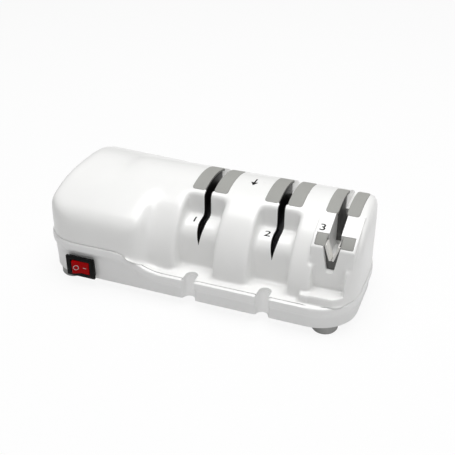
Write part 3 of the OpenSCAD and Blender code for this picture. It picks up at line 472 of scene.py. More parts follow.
def vee(grow):
    half = VEE_W / 2 + grow
    form = block("vee", (THIRD - half, -60, VEE_LOW - grow), (THIRD + half, BLOCK_Y + 9 + grow, 95))
    spread = (VEE_TOP_W - VEE_W) / 2 / (BLOCK_TOP - VEE_LOW) * (95 - VEE_LOW)
    only(form)
    bpy.ops.object.mode_set(mode="EDIT")
    bpy.ops.mesh.select_mode(type="VERT")
    for side in (-1, 1):
        bpy.ops.mesh.select_all(action="DESELECT")
        bpy.ops.object.mode_set(mode="OBJECT")
        for point in form.data.vertices:
            point.select = point.co.z / MM > 90 and (point.co.x / MM - THIRD) * side > 0
        bpy.ops.object.mode_set(mode="EDIT")
        bpy.ops.transform.translate(value=(side * spread * MM, 0, 0))
    bpy.ops.object.mode_set(mode="OBJECT")
    return form


print("form of the V ready")

# %% [markdown]
# A moulding like this has no sharp corners: its faces run into each other in soft fillets. Bevels
# can't follow such crossings. So the dome and the arch are joined, turned into an even skin with
# Remesh, and smoothed a great deal. Then the bays are cut and the skin is smoothed less, so that
# their fillets come out tighter.

# %% Outer skin of the upper housing
def even_skin(piece, cell, rounds):
    use(piece, "REMESH", mode="VOXEL", voxel_size=cell * MM)
    use(piece, "SMOOTH", factor=0.5, iterations=rounds)


housing = dome(0)
combine(housing, "UNION", arch(0))
even_skin(housing, 1.1, 75)
for x in SLOTS.values():
    combine(housing, "DIFFERENCE", bay(x, 0))
shelf = combine(block("shelf", (-44, -62, 8), (103, -22, 50)), "INTERSECT", under_seam("below", 0))
combine(housing, "UNION", shelf)
even_skin(housing, 1, 26)
print("skin with bays:", len(housing.data.polygons), "faces")

# %% [markdown]
# The third stage's floor and bay are crisper, so they are cut last and smoothed only a little. Its
# block only gets a small bevel along its front edges.

# %% Third stage of the skin
raised = block("raised", (THIRD - BAY_HALF - 3, FLOOR_Y - 1, 0), (109, -31, FLOOR_H))
combine(housing, "UNION", combine(raised, "INTERSECT", plan("corner", 1, -5, 60)))
combine(housing, "DIFFERENCE", third_bay(0))
even_skin(housing, 0.9, 7)


def block_edge(a, b):
    return min(a.z, b.z) > 17 and max(a.y, b.y) < ARCH_Y - 1 and max(a.z, b.z) < BLOCK_BACK_Z + 0.1


combine(housing, "UNION", round_edges(third_block(0), 1.1, 4, block_edge))
print("skin with third stage:", len(housing.data.polygons), "faces")

# %% [markdown]
# The slots have to be known before the hollow, because walls stand round them inside. A powered slot
# is wide between the pads and narrower in front. The third stage has a channel behind its V, a well
# for the grey trough and a way out at the back.

# %% Sizes of the slots
SHELL = 3  # wall of the upper housing
SLOT_W, REST_SLOT_W, EXIT_H, SLOT_LOW, TIP_H, LINING = 6, 4.8, 60, 49.6, 37.7, 2.4
CHANNEL_W, CHANNEL_BACK, CHANNEL_LOW = 7.5, -9.4, 42.8
TROUGH_W, TROUGH_FRONT, TROUGH_LOW, GAP_W = 11.5, -10.4, 46, 5.5
PAD_EDGE = ARCH_Y - PAD_FRONT
LINING_END, TROUGH_END = 15, 8  # behind these the slots show the white moulding
print("slots: %.1f, %.1f and %.1f mm wide" % (SLOT_W, SLOT_W, GAP_W))

# %% [markdown]
# Below the seam only the ledge is left, a step in from the edge, which drops into the base. The hollow
# is the same forms again, a wall's thickness in. Solidify would be shorter, but it folds over itself
# in tight corners, and it wouldn't leave the walls round the slots.

# %% Underside and hollow of the upper housing
RIM_IN = 2.6  # the ledge stands this far inside the edge of the base
skirt = under_seam("skirt", 0.2)
combine(skirt, "DIFFERENCE", plan("inside", RIM_IN, -30, 60))
combine(housing, "DIFFERENCE", skirt, under_seam("underside", -1.8))


def wall_round(name, x, width, front, back, low):
    half = width / 2 + SHELL
    return block(name, (x - half, front, low - SHELL), (x + half, back, 95))


hollow = arch(SHELL)
combine(hollow, "UNION", third_block(SHELL))
combine(hollow, "DIFFERENCE", bay(SLOTS[1], SHELL), bay(SLOTS[2], SHELL), third_bay(SHELL), vee(SHELL),
        wall_round("channel_wall", THIRD, CHANNEL_W, -60, CHANNEL_BACK + SHELL, VEE_LOW),
        wall_round("well_wall", THIRD, TROUGH_W, TROUGH_FRONT - SHELL, 19, TROUGH_LOW),
        wall_round("exit_wall", THIRD, GAP_W, ARCH_Y, 90, EXIT_H),
        wall_round("exit_wall", SLOTS[1], SLOT_W, ARCH_Y, 90, EXIT_H),
        wall_round("exit_wall", SLOTS[2], SLOT_W, ARCH_Y, 90, EXIT_H))
combine(hollow, "UNION", dome(SHELL))
combine(housing, "DIFFERENCE", hollow)
print("housing, hollowed:", len(housing.data.polygons), "faces")

# %% [markdown]
# Each powered slot is a wide cut between the pads, a well for the lining, and a narrow cut that ends
# in a point on the knife rest. The wedge at its end is a block with its lower edge drawn to a point.
# The narrow cut is edged in black: the edging is what the cut takes out, less a thinner cut.

# %% Blade slots
EDGING = 0.35  # thickness of the black edging


def wedge(name, x, width, low, high, front=-80, rear=ARCH_Y):
    form = block(name, (x - width / 2, front, low), (x + width / 2, rear, high))
    only(form)
    bpy.ops.object.mode_set(mode="EDIT")
    bpy.ops.mesh.select_mode(type="VERT")
    bpy.ops.mesh.select_all(action="DESELECT")
    bpy.ops.object.mode_set(mode="OBJECT")
    for point in form.data.vertices:
        point.select = near(point.co.z / MM, low)
    bpy.ops.object.mode_set(mode="EDIT")
    bpy.ops.transform.resize(value=(0.02, 1, 1), center_override=(x * MM, 0, 0))
    bpy.ops.object.mode_set(mode="OBJECT")
    return form


def slot_front(x, thinner):
    width = REST_SLOT_W - thinner
    low = block("narrow", (x - width / 2, -80, SLOT_LOW), (x + width / 2, PAD_EDGE + 1, 90))
    tip = wedge("point", x, width, TIP_H + thinner, SLOT_LOW + 0.01, rear=PAD_EDGE + 1)
    return combine(low, "UNION", tip)


edgings = []
for number, x in SLOTS.items():
    only(housing)
    bpy.ops.object.duplicate()
    edging = bpy.context.object
    combine(edging, "INTERSECT", slot_front(x, 0))
    combine(edging, "DIFFERENCE", slot_front(x, 2 * EDGING))
    cut_beyond(edging, (0, PAD_EDGE, 0), (0, 1, 0))
    edging.name = "stage_%d_slot_edging" % number
    edgings.append(edging)
    half = SLOT_W / 2
    well = half + LINING + 0.1
    combine(housing, "DIFFERENCE", slot_front(x, 0),
            block("wide", (x - half, PAD_EDGE, EXIT_H), (x + half, 80, 90)),
            block("well", (x - well, PAD_EDGE + 0.6, SLOT_LOW), (x + well, LINING_END + 0.1, 90)))
print("powered slots:", len(SLOTS))

# %% [markdown]
# The third stage isn't driven, so its cuts are simpler. Under its V, the front edge of the block has
# a small chamfer, cut by a block that is turned on its edge.

# %% Cuts of the third stage
def third_cut(name, width, front, back, low):
    return block(name, (THIRD - width / 2, front, low), (THIRD + width / 2, back, 95))


combine(housing, "DIFFERENCE", vee(0),
        third_cut("channel", CHANNEL_W, -31, CHANNEL_BACK, CHANNEL_LOW),
        third_cut("third_well", TROUGH_W, TROUGH_FRONT, TROUGH_END + 0.1, TROUGH_LOW),
        third_cut("third_exit", GAP_W, TROUGH_END, 90, EXIT_H))
sill = block("sill", (THIRD - 2.4, BLOCK_Y - 1, VEE_LOW - 1), (THIRD + 2.4, BLOCK_Y + 1, VEE_LOW + 1))
combine(housing, "DIFFERENCE", turn_about(sill, (THIRD, BLOCK_Y, VEE_LOW), 45, "X"))
print("third stage cut:", len(housing.data.polygons), "faces")

# %% [markdown]
# Grey rubber pads beside the slots keep a blade from being scratched. They lie in the crown of the
# arch, in seats of their own. A pad is a slice of tube, and its seat is the same slice a little
# larger, so the two always fit.

# %% Seats of the pads
PAD_T, PAD_W, PAD_REAR, PAD_FIT = 1.5, 9.5, 18.5, 0.1
THIRD_PAD_W, THIRD_PAD_FRONT, THIRD_PAD_REAR = 8, 17.2, 15
PADS = {}
for number, x in SLOTS.items():
    left, right = x - SLOT_W / 2, x + SLOT_W / 2
    PADS["stage_%d_left_pad" % number] = (left - PAD_W, left, PAD_FRONT, PAD_REAR)
    PADS["stage_%d_right_pad" % number] = (right, right + PAD_W, PAD_FRONT, PAD_REAR)
left, right = THIRD - GAP_W / 2, THIRD + GAP_W / 2
THIRD_PADS = {"left": (left - THIRD_PAD_W, left, THIRD_PAD_FRONT, THIRD_PAD_REAR),
              "right": (right, right + THIRD_PAD_W, THIRD_PAD_FRONT, THIRD_PAD_REAR)}


def pad_slice(name, place, clear, outer):
    x0, x1, front, rear = place
    middle = ((x0 + x1) / 2, ARCH_Y, ARCH_Z)
    ring = drum(name, middle, outer, x1 - x0 + 2 * clear, sides=256)
    combine(ring, "DIFFERENCE", drum("inner", middle, ARCH_R - PAD_T - clear, 40, sides=256))
    patch = block("patch", (x0 - clear, ARCH_Y - front - clear, 50), (x1 + clear, ARCH_Y + rear + clear, 90))
    round_edges(patch, 1.9, 5, upright)
    combine(ring, "INTERSECT", patch)
    return ring


for place in list(PADS.values()) + list(THIRD_PADS.values()):
    combine(housing, "DIFFERENCE", pad_slice("seat", place, PAD_FIT, ARCH_R + 1))
print("seats:", len(PADS) + len(THIRD_PADS))

# %% [markdown]
# The front wall has a finger-like notch under each powered slot, which most likely gives room to the
# heel of the blade. It is a leaning drum with an open mouth. Both mouldings are cut with it, so that
# its halves meet at the seam.

# %% Finger notches
NOTCH_R, NOTCH_Y, NOTCH_LEAN = 4.25, -47.75, -19.65


def notch(x, grow):
    radius = NOTCH_R + grow
    form = drum("notch", (x, NOTCH_Y, SEAM_LOW), radius, 80, turn=(0, 0, 0), sides=48)
    mouth = block("mouth", (x - radius, -90, SEAM_LOW - 40), (x + radius, NOTCH_Y, SEAM_LOW + 40))
    combine(form, "UNION", mouth)
    turn_about(form, (x, NOTCH_Y, SEAM_LOW), NOTCH_LEAN, "X")
    return combine(form, "INTERSECT", block("limit", (-200, -100, -10), (200, -32, SEAM_LOW + 8)))


for x in SLOTS.values():
    combine(housing, "DIFFERENCE", notch(x, 0))
print("housing with seats and notches:", len(housing.data.polygons), "faces")

# %% [markdown]
# The base is a tray with a rounded rim. Below a faint crease, which runs along under the seam, its
# walls lean in a little. A leaning wall could be a tapered block, but the crease has to follow the
# S-bend. So the points get a weight by their depth under the seam, and Displace moves them in.

# %% Lower base
BASE_LOW, FLOOR_TOP, BASE_WALL = 6, 8, 2.4


def lean_in(piece, start, full, distance):
    group = piece.vertex_groups.new(name="lean")
    for point in piece.data.vertices:
        depth = (seam_at(point.co.x / MM) - start - point.co.z / MM) / full
        if depth > 0 and abs(point.normal.z) < 0.7:
            group.add([point.index], min(depth, 1), "REPLACE")
    use(piece, "DISPLACE", vertex_group="lean", strength=-distance * MM, mid_level=0)
    piece.vertex_groups.clear()


base = combine(plan("lower_base_shell", 0, -8, 60), "INTERSECT", under_seam("top", 0))
even_skin(base, 1, 4)
lean_in(base, 6, 0.9, 1.25)
lean_in(base, 7, 14, 0.6)
for x in SLOTS.values():
    combine(base, "DIFFERENCE", notch(x, 0))
even_skin(base, 0.9, 5)
print("base:", len(base.data.polygons), "faces")

# %% [markdown]
# The inside of the tray could be an inset copy of its leaning outside. As it doesn't show, one upright
# cut is enough. A wall round each notch is left standing.

# %% Inside of the base
CAVITY_IN = 2.1  # the outside of the walls leans in to just short of this
cavity = plan("cavity", CAVITY_IN, FLOOR_TOP, 60)
for x in SLOTS.values():
    beside_notch = block("up_to_ledge", (x - 9, -60, 0), (x + 9, -30, 19.4))
    combine(cavity, "DIFFERENCE", combine(notch(x, BASE_WALL), "INTERSECT", beside_notch))
combine(base, "DIFFERENCE", cavity, block("table_cut", (-130, -80, -20), (130, 80, BASE_LOW)))
print("base, hollowed:", len(base.data.polygons), "faces")

# %% [markdown]
# Posts inside carry the screws of the case, of the feet and of the motor. Those near a back corner are
# placed from that corner's centre, by how far in they lie and at what angle.

# %% Posts of the base
POST_R, POST_LOW, RIB_X, SHAFT_Y = 4.2, BASE_LOW + 0.5, 27.25, 2
MOTOR_X, MOTOR_REACH, PEDESTAL_X, PEDESTAL_REACH = -70, 14, 76.5, 11
FOOT_SCREW_R = 1.5


def by_corner(side, inward, degrees):
    radius, angle = CORNERS[side, 1], math.radians(degrees)
    reach = radius - inward
    along, across = BODY_L / 2 - radius, BODY_W / 2 - radius
    return side * (along + reach * math.cos(angle)), across + reach * math.sin(angle)


def upright_drum(name, place, radius, low, high):
    return drum(name, (place[0], place[1], (low + high) / 2), radius, high - low, turn=(0, 0, 0), sides=40)


CASE_SCREWS = [by_corner(-1, POST_R + 1, 30), (-100, -28), (RIB_X, -40.7), (RIB_X, 42),
               by_corner(1, POST_R + 2, 20), (103, -20)]
FEET = [(-91, -42), (91, -42), by_corner(-1, 13, 66), by_corner(1, 13, 48)]
MOTOR_SCREWS = [(MOTOR_X + dx, SHAFT_Y + dy) for dx in (-MOTOR_REACH, MOTOR_REACH)
                for dy in (-MOTOR_REACH, MOTOR_REACH)]
MOTOR_SCREWS += [(PEDESTAL_X, SHAFT_Y + dy) for dy in (-PEDESTAL_REACH, PEDESTAL_REACH)]
for place in CASE_SCREWS:
    combine(base, "UNION", upright_drum("post", place, POST_R, POST_LOW, seam_at(place[0]) - 2))
for place in FEET:
    combine(base, "UNION", upright_drum("post", place, POST_R, POST_LOW, 16))
    combine(base, "DIFFERENCE", upright_drum("hole", place, FOOT_SCREW_R, 0, 14))
for place in MOTOR_SCREWS:
    combine(base, "UNION", upright_drum("post", place, POST_R, POST_LOW, BASE_LOW + 5))
print("posts:", len(CASE_SCREWS) + len(FEET) + len(MOTOR_SCREWS))

# %% [markdown]
# The holes are drilled last, so that their edges stay clean. Screws go in from below, so each has
# room for its head. The switch and the cord gland have openings in the wall, and air comes in through
# two rows of vents in the floor.

# %% Holes and vents of the base
SWITCH_X, SWITCH_Z, GLAND_X, GLAND_Z = -77, 14.5, -44, 17
SCREW_R, SCREW_HEAD_R, HEAD_TOP, GLAND_R = 1.8, 3.5, 8.6, 5.3
SWITCH_HALF_L, SWITCH_HALF_H = 9.6, 6.5
VENT_W, VENT_STEP, VENT_HALF = 2.6, 5, 14
for place in CASE_SCREWS + MOTOR_SCREWS:
    combine(base, "DIFFERENCE", upright_drum("hole", place, SCREW_R, 0, 50),
            upright_drum("head", place, SCREW_HEAD_R, 0, HEAD_TOP))
switch_hole = block("switch_hole", (SWITCH_X - SWITCH_HALF_L, -57, SWITCH_Z - SWITCH_HALF_H),
                    (SWITCH_X + SWITCH_HALF_L, -50, SWITCH_Z + SWITCH_HALF_H))
gland_hole = drum("gland_hole", (GLAND_X, BODY_W / 2, GLAND_Z), GLAND_R, 20, turn=(90, 0, 0), sides=48)
combine(base, "DIFFERENCE", switch_hole, gland_hole)
for first, count in ((-101, 3), (-50, 4)):
    for i in range(count):
        x = first + VENT_STEP * i
        vent = block("vent", (x, SHAFT_Y - VENT_HALF, 0), (x + VENT_W, SHAFT_Y + VENT_HALF, 10))
        combine(base, "DIFFERENCE", round_edges(vent, 1.2, 5, upright))
print("base, drilled:", len(base.data.polygons), "faces")

# %% [markdown]
# Some pieces have the right form in the frame already and only need their edges broken, as every real
# edge is. To model them anew would only bring in errors. So a copy is merged, its flat faces are joined
# up, and its sharp edges get a small Bevel that catches the light.

# %% Pieces taken from the frame, with broken edges
SHARP = 35  # edges over this many degrees are broken here, and stay crisp when shaded


def break_edges(piece, width, steps=2, angle=SHARP):
    use(piece, "BEVEL", width=width * MM, segments=steps, limit_method="ANGLE",
        angle_limit=math.radians(angle))
    return piece


def softened(node, width):
    only(nodes[node])
    bpy.ops.object.duplicate()
    piece = bpy.context.object
    piece.name = node + "_finished"
    only(piece)
    bpy.ops.object.mode_set(mode="EDIT")
    bpy.ops.mesh.select_all(action="SELECT")
    bpy.ops.mesh.remove_doubles(threshold=0.002 * MM)
    bpy.ops.object.mode_set(mode="OBJECT")
    use(piece, "DECIMATE", decimate_type="DISSOLVE", angle_limit=math.radians(1.5))
    return break_edges(piece, width, 3)


EDGES = {"switch_bezel": 0.7, "switch_rocker": 0.35, "cord_gland": 0.3, "front_left_foot": 0.5,
         "front_right_foot": 0.5, "rear_left_foot": 0.5, "rear_right_foot": 0.5,
         "stage_3_left_ceramic": 0.25, "stage_3_right_ceramic": 0.25}
pieces = {node: softened(node, width) for node, width in EDGES.items()}
print("softened:", ", ".join(pieces))

# %% [markdown]
# The black linings keep the blade upright between the wheels. Towards the back they end, and there the
# slots show the white moulding, so the copies are cut off at that place.

# %% Linings of the powered slots
for number in SLOTS:
    for side in ("left", "right"):
        node = "stage_%d_%s_guide" % (number, side)
        pieces[node] = cut_beyond(softened(node, 0.3), (0, LINING_END, 0), (0, 1, 0))
print("linings:", 2 * len(SLOTS))

# %% [markdown]
# The pads of the powered stages are moulded rubber, pressed into their seats. Each is the slice of tube
# that its seat was cut with, without the play, and stands a hair proud of the arch.

# %% Pads of the powered stages
PROUD = 0.05
for name, place in PADS.items():
    pieces[name] = pad_slice(name + "_finished", place, 0, ARCH_R + PROUD)
print("pads:", len(PADS))

# %% [markdown]
# Behind the third stage's V, a grey trough with two pads of its own guides the blade. It is one
# moulding that fits its well. Here it is a block, cut to the arch and hollowed by the same wedge as
# the tips of the slots, with a gap above.

# %% Rear guide of the third stage
TROUGH_PLAY, TROUGH_TIP, GAP_LOW = 0.1, 48, 58
half = TROUGH_W / 2 - TROUGH_PLAY
trough = block("third_stage_trough", (THIRD - half, TROUGH_FRONT + TROUGH_PLAY, TROUGH_LOW + TROUGH_PLAY),
               (THIRD + half, TROUGH_END, 75))
combine(trough, "INTERSECT", drum("under_pads", (THIRD, ARCH_Y, ARCH_Z), ARCH_R - PAD_T, 30, sides=192))
combine(trough, "DIFFERENCE", wedge("v", THIRD, GAP_W, TROUGH_TIP, GAP_LOW + 0.01, -40, 40),
        block("gap", (THIRD - GAP_W / 2, -40, GAP_LOW), (THIRD + GAP_W / 2, 40, 80)))
guide = [break_edges(trough, 0.3)]
for side, place in THIRD_PADS.items():
    guide.append(pad_slice("third_stage_%s_pad" % side, place, 0, ARCH_R + PROUD))
print("rear guide:", len(guide), "pieces")

# %% [markdown]
# In the notch of the block sits a grey V, which holds two ceramic plates that lean together. The V is
# the notch itself, less its play, with an opening cut between the plates. The plates come from the
# frame, and their tops are trimmed to the slope of the block.

# %% Ceramic stage
APEX, PLATE_LEAN, HOLDER_Y, HOLDER_BACK = 46.8, math.radians(18), -36.6, -30.6
OPENING_H, OPENING_DROP = 40, 1.2  # the opening starts this far under the apex of the plates
holder = combine(vee(-0.1), "INTERSECT", block("length", (70, HOLDER_Y, 30), (110, HOLDER_BACK, 60)),
                 third_block(0.4))
tip = APEX - OPENING_DROP
opening = wedge("opening", THIRD, 2 * OPENING_H * math.tan(PLATE_LEAN), tip, tip + OPENING_H, -60, 0)
combine(holder, "DIFFERENCE", opening)
break_edges(holder, 0.2)
holder.name = "ceramic_holder_finished"
for side in ("left", "right"):
    plate = under_slopes(pieces["stage_3_%s_ceramic" % side], 0.6)
    cut_beyond(plate, (0, HOLDER_Y - 0.4, 0), (0, -1, 0))
print("ceramic stage: holder and two plates")

# %% [markdown]
# Two small pads are bent over the front edge of the block, one each side of the V. A pad is what lies
# between the block's slopes and the same slopes a pad's thickness lower. Its seat is made by the same
# function, with some play.

# %% Small pads of the third stage
SMALL_PADS = {"left": (THIRD - 11.2, THIRD - 4.2), "right": (THIRD + 5.2, THIRD + 13)}
SMALL_PAD_T, SMALL_PAD_LOW, SMALL_PAD_BACK = 1.3, 57, -30.7


def bent_pad(name, x0, x1, clear):
    pad = block(name, (x0 - clear, -50, SMALL_PAD_LOW - clear), (x1 + clear, SMALL_PAD_BACK + clear, 70))
    if clear:
        cut_above(pad, BLOCK_Y, BLOCK_TOP + 4, 0)
    else:
        under_slopes(pad, -PROUD)
    core = under_slopes(block("core", (x0 - 2, -60, 40), (x1 + 2, -20, 70)), SMALL_PAD_T + clear)
    combine(pad, "DIFFERENCE", core)
    return pad if clear else break_edges(pad, 0.6, 4, 25)


vee_pieces = [holder]
for side, (x0, x1) in SMALL_PADS.items():
    combine(housing, "DIFFERENCE", bent_pad("small_seat", x0, x1, PAD_FIT))
    vee_pieces.append(bent_pad("ceramic_holder_%s_pad" % side, x0, x1, 0))
print("small pads:", len(SMALL_PADS))

# %% [markdown]
# The numbers are printed on with a soft pad, which follows the curve of the moulding. An image could
# carry them, but a thin sheet stays sharp from near by. Each sheet is divided finely and laid on the
# moulding with Shrinkwrap, a hair above it.

# %% Printed numbers
INK = 0.05  # height of the print above the moulding
NUMBER_H, DIGIT_SHARE, BOLDER, WIDER = 4.9, 0.69, 0.06, 1.3  # a digit fills this share of the font's size
NUMBERS = {"1": ((-4.3, -26.1, 52), 18), "2": ((46.3, -26.5, 52), 18), "3": ((82.1, -27.2, 66), 20)}


def lay_on(piece, place, tilt):
    piece.location = [c * MM for c in place]
    piece.rotation_euler = (math.radians(tilt), 0, 0)
    settle(piece, piece.name)
    use(piece, "TRIANGULATE")
    bpy.ops.object.mode_set(mode="EDIT")
    bpy.ops.mesh.select_all(action="SELECT")
    bpy.ops.mesh.subdivide(number_cuts=3)
    bpy.ops.object.mode_set(mode="OBJECT")
    use(piece, "SHRINKWRAP", target=housing, wrap_method="PROJECT", use_negative_direction=True,
        use_positive_direction=True, use_project_z=True, offset=INK * MM)
    return piece


def printed(sign, place, tilt):
    bpy.ops.object.select_all(action="DESELECT")
    bpy.ops.object.text_add()
    words = bpy.context.object
    words.data.body = sign
    words.data.size = NUMBER_H / DIGIT_SHARE * MM
    words.data.align_x = "CENTER"
    words.data.align_y = "CENTER"
    words.data.offset = BOLDER * MM
    words.scale = (WIDER, 1, 1)
    only(words)
    bpy.ops.object.convert(target="MESH")
    piece = bpy.context.object
    piece.name = "number_" + sign
    return lay_on(piece, place, tilt)


marks = [printed(sign, place, tilt) for sign, (place, tilt) in NUMBERS.items()]
print("numbers:", ", ".join(NUMBERS))

# %% [markdown]
# On the crest between the powered slots an arrow shows which way the blade is drawn. It is a strip
# joined with a three-sided head, and is laid on in the same way.

# %% Printed arrow
STRIP_W, STRIP_L, STRIP_Y = 1, 7, 1.3
HEAD_R, HEAD_Y, HEAD_SCALE = 3, -1.9, (0.95, 0.9, 1)
bpy.ops.object.select_all(action="DESELECT")
bpy.ops.mesh.primitive_plane_add(size=1)
arrow = bpy.context.object
arrow.scale = (STRIP_W * MM, STRIP_L * MM, 1)
settle(arrow, "arrow")
arrow.data.transform(Matrix.Translation((0, STRIP_Y * MM, 0)))
bpy.ops.object.select_all(action="DESELECT")
bpy.ops.mesh.primitive_circle_add(vertices=3, radius=HEAD_R * MM, fill_type="NGON", rotation=(0, 0, math.pi))
head = bpy.context.object
head.scale = HEAD_SCALE
settle(head, "head")
head.data.transform(Matrix.Translation((0, HEAD_Y * MM, 0)))
arrow.select_set(True)
bpy.context.view_layer.objects.active = arrow
bpy.ops.object.join()
marks.append(lay_on(arrow, (RIB_X + 0.2, 1.7, 74), 0))
print("marks:", [mark.name for mark in marks])

# %% [markdown]
# The rocker is marked with a ring and a bar, which a real one has moulded in and filled with paint.
# Here they are small solids let into its two faces, because a sheet that lies in a face flickers.

# %% Marks on the rocker
RING_R, RING_T = 1.7, 0.2
RING_AT, RING_TURN = (-79.3, -58.12, SWITCH_Z), 25.04
BAR_AT, BAR_TURN = (-73.4, -56.92, SWITCH_Z), -3.04


def on_rocker(piece, place, degrees):
    turned = Matrix.Rotation(math.radians(degrees), 4, "Z") @ Matrix.Rotation(math.pi / 2, 4, "X")
    piece.data.transform(Matrix.Translation(Vector(place) * MM) @ turned)
    return piece


bpy.ops.object.select_all(action="DESELECT")
bpy.ops.mesh.primitive_torus_add(major_radius=RING_R * MM, minor_radius=RING_T * MM,
                                 major_segments=48, minor_segments=8)
ring = on_rocker(settle(bpy.context.object, "switch_ring"), RING_AT, RING_TURN)
bar = block("switch_bar", (-1.3, -0.2, -0.1), (1.3, 0.2, 0.1))
bar = on_rocker(round_edges(bar, 0.06, 2, lambda a, b: True), BAR_AT, BAR_TURN)
print("rocker: ring and bar")

# %% [markdown]
# All finishes read one shared group, which turns a point's place on the object into two patterns:
# a broad tone, for moulded colour that is never quite even, and a fine grain for the surface.
# Stretching the coordinates along one axis turns the grain into brush marks or windings.

# %% Shared pattern group
def add(tree, kind, **values):
    step = tree.nodes.new(kind)
    for key, value in values.items():
        setattr(step, key, value)
    return step


pattern = bpy.data.node_groups.new("grain_and_tone", "ShaderNodeTree")
pattern.interface.new_socket("Stretch", in_out="INPUT", socket_type="NodeSocketVector")
pattern.interface.new_socket("Fineness", in_out="INPUT", socket_type="NodeSocketFloat")
pattern.interface.new_socket("Tone", in_out="OUTPUT", socket_type="NodeSocketFloat")
pattern.interface.new_socket("Grain", in_out="OUTPUT", socket_type="NodeSocketFloat")
start = add(pattern, "NodeGroupInput")
end = add(pattern, "NodeGroupOutput")
place = add(pattern, "ShaderNodeTexCoord")
stretched = add(pattern, "ShaderNodeVectorMath", operation="MULTIPLY")
pattern.links.new(place.outputs["Object"], stretched.inputs[0])
pattern.links.new(start.outputs["Stretch"], stretched.inputs[1])
broad = add(pattern, "ShaderNodeTexNoise")
broad.inputs["Scale"].default_value = 45
broad.inputs["Detail"].default_value = 3
fine = add(pattern, "ShaderNodeTexNoise")
fine.inputs["Detail"].default_value = 4
pattern.links.new(place.outputs["Object"], broad.inputs["Vector"])
pattern.links.new(stretched.outputs[0], fine.inputs["Vector"])
pattern.links.new(start.outputs["Fineness"], fine.inputs["Scale"])
pattern.links.new(broad.outputs["Fac"], end.inputs["Tone"])
pattern.links.new(fine.outputs["Fac"], end.inputs["Grain"])
print("shared group:", pattern.name)

# %% [markdown]
# A finish mixes two tones of its colour, lets the grain change the roughness, and adds a slight
# relief. Tiny relief is what makes moulded plastic look moulded, and rubber dull. One function makes
# them all, because they differ only in their values.

# %% Finishes
def finish(name, light, dark, rough, metal=0.0, stretch=(1, 1, 1), fineness=2500, relief=0.02,
           by_grain=0.0, coat=0.0, shine=0.5):
    material = bpy.data.materials.new(name)
    material.use_nodes = True
    tree = material.node_tree
    shader = tree.nodes["Principled BSDF"]
    source = add(tree, "ShaderNodeGroup", node_tree=pattern)
    source.inputs["Stretch"].default_value = stretch
    source.inputs["Fineness"].default_value = fineness
    colours = add(tree, "ShaderNodeMix", data_type="RGBA")
    colours.inputs["A"].default_value = (*dark, 1)
    colours.inputs["B"].default_value = (*light, 1)
    share = add(tree, "ShaderNodeMix", data_type="FLOAT")
    share.inputs["Factor"].default_value = by_grain
    tree.links.new(source.outputs["Tone"], share.inputs["A"])
    tree.links.new(source.outputs["Grain"], share.inputs["B"])
    contrast = add(tree, "ShaderNodeMapRange")
    contrast.inputs["From Min"].default_value = 0.3
    contrast.inputs["From Max"].default_value = 0.7
    tree.links.new(share.outputs["Result"], contrast.inputs["Value"])
    tree.links.new(contrast.outputs["Result"], colours.inputs["Factor"])
    tree.links.new(colours.outputs["Result"], shader.inputs["Base Color"])
    dullness = add(tree, "ShaderNodeMapRange")
    dullness.inputs["To Min"].default_value = rough[0]
    dullness.inputs["To Max"].default_value = rough[1]
    tree.links.new(source.outputs["Grain"], dullness.inputs["Value"])
    tree.links.new(dullness.outputs["Result"], shader.inputs["Roughness"])
    bump = add(tree, "ShaderNodeBump")
    bump.inputs["Strength"].default_value = relief
    bump.inputs["Distance"].default_value = 0.2 * MM
    tree.links.new(source.outputs["Grain"], bump.inputs["Height"])
    tree.links.new(bump.outputs["Normal"], shader.inputs["Normal"])
    shader.inputs["Metallic"].default_value = metal
    shader.inputs["Coat Weight"].default_value = coat
    shader.inputs["Specular IOR Level"].default_value = shine
    return material


print("finishes use", pattern.name)

# %% [markdown]
# Outside, the body is glossy white plastic and the base a little duller. The switch is black and red,
# the pads and the feet are grey rubber, and the linings are black. The printing and the marks of the
# switch are two more finishes, which no node of the frame has.

# %% Finishes of the outer pieces
finishes = {
    "housing_white": finish("white_moulding", (0.86, 0.86, 0.85), (0.84, 0.84, 0.83), (0.25, 0.36),
                            coat=0.2),
    "base_white": finish("white_base_moulding", (0.85, 0.85, 0.845), (0.83, 0.83, 0.825), (0.28, 0.4),
                         coat=0.15),
    "switch_black": finish("black_switch_plastic", (0.005, 0.005, 0.005), (0.003, 0.003, 0.003),
                           (0.4, 0.6), shine=0.12),
    "rocker_red": finish("red_switch_plastic", (0.4, 0.0, 0.001), (0.34, 0.0, 0.001), (0.3, 0.45),
                         shine=0.05),
    "pad_grey": finish("grey_pad_rubber", (0.35, 0.35, 0.33), (0.3, 0.3, 0.285), (0.6, 0.8),
                       fineness=1800, relief=0.12, by_grain=0.5),
    "lining_black": finish("black_lining", (0.012, 0.011, 0.01), (0.006, 0.006, 0.006), (0.25, 0.45),
                           relief=0.1),
    # The third stage's trough and V holder get a far darker grey than the pads beside them: their grey is
    # darkened by painted shade of the well and the notch they sit in.
    "third_stage_grey": finish("grey_plastic_with_painted_shade", (0.11, 0.11, 0.105), (0.08, 0.08, 0.078), (0.4, 0.6),
                               relief=0.05),
    "white_ceramic": finish("white_ceramic", (0.86, 0.85, 0.82), (0.8, 0.79, 0.76), (0.45, 0.65),
                            fineness=5000, relief=0.06, by_grain=0.5),
    "foot_rubber": finish("grey_foot_rubber", (0.45, 0.45, 0.44), (0.36, 0.36, 0.355), (0.65, 0.85),
                          relief=0.1),
}
ink = finish("printing_ink", (0.006, 0.006, 0.006), (0.003, 0.003, 0.003), (0.5, 0.7), shine=0.15)
chalk = finish("switch_marking", (0.6, 0.6, 0.6), (0.5, 0.5, 0.5), (0.45, 0.6))
print("outer finishes:", len(finishes) + 2)

# %% [markdown]
# Inside are the metals of the motor and the shaft, the coating of the wheels, and plain plastics. The
# grain of ground steel is drawn out round the shaft, and that of the stator and the coil lies in
# layers, as sheets and wire do.

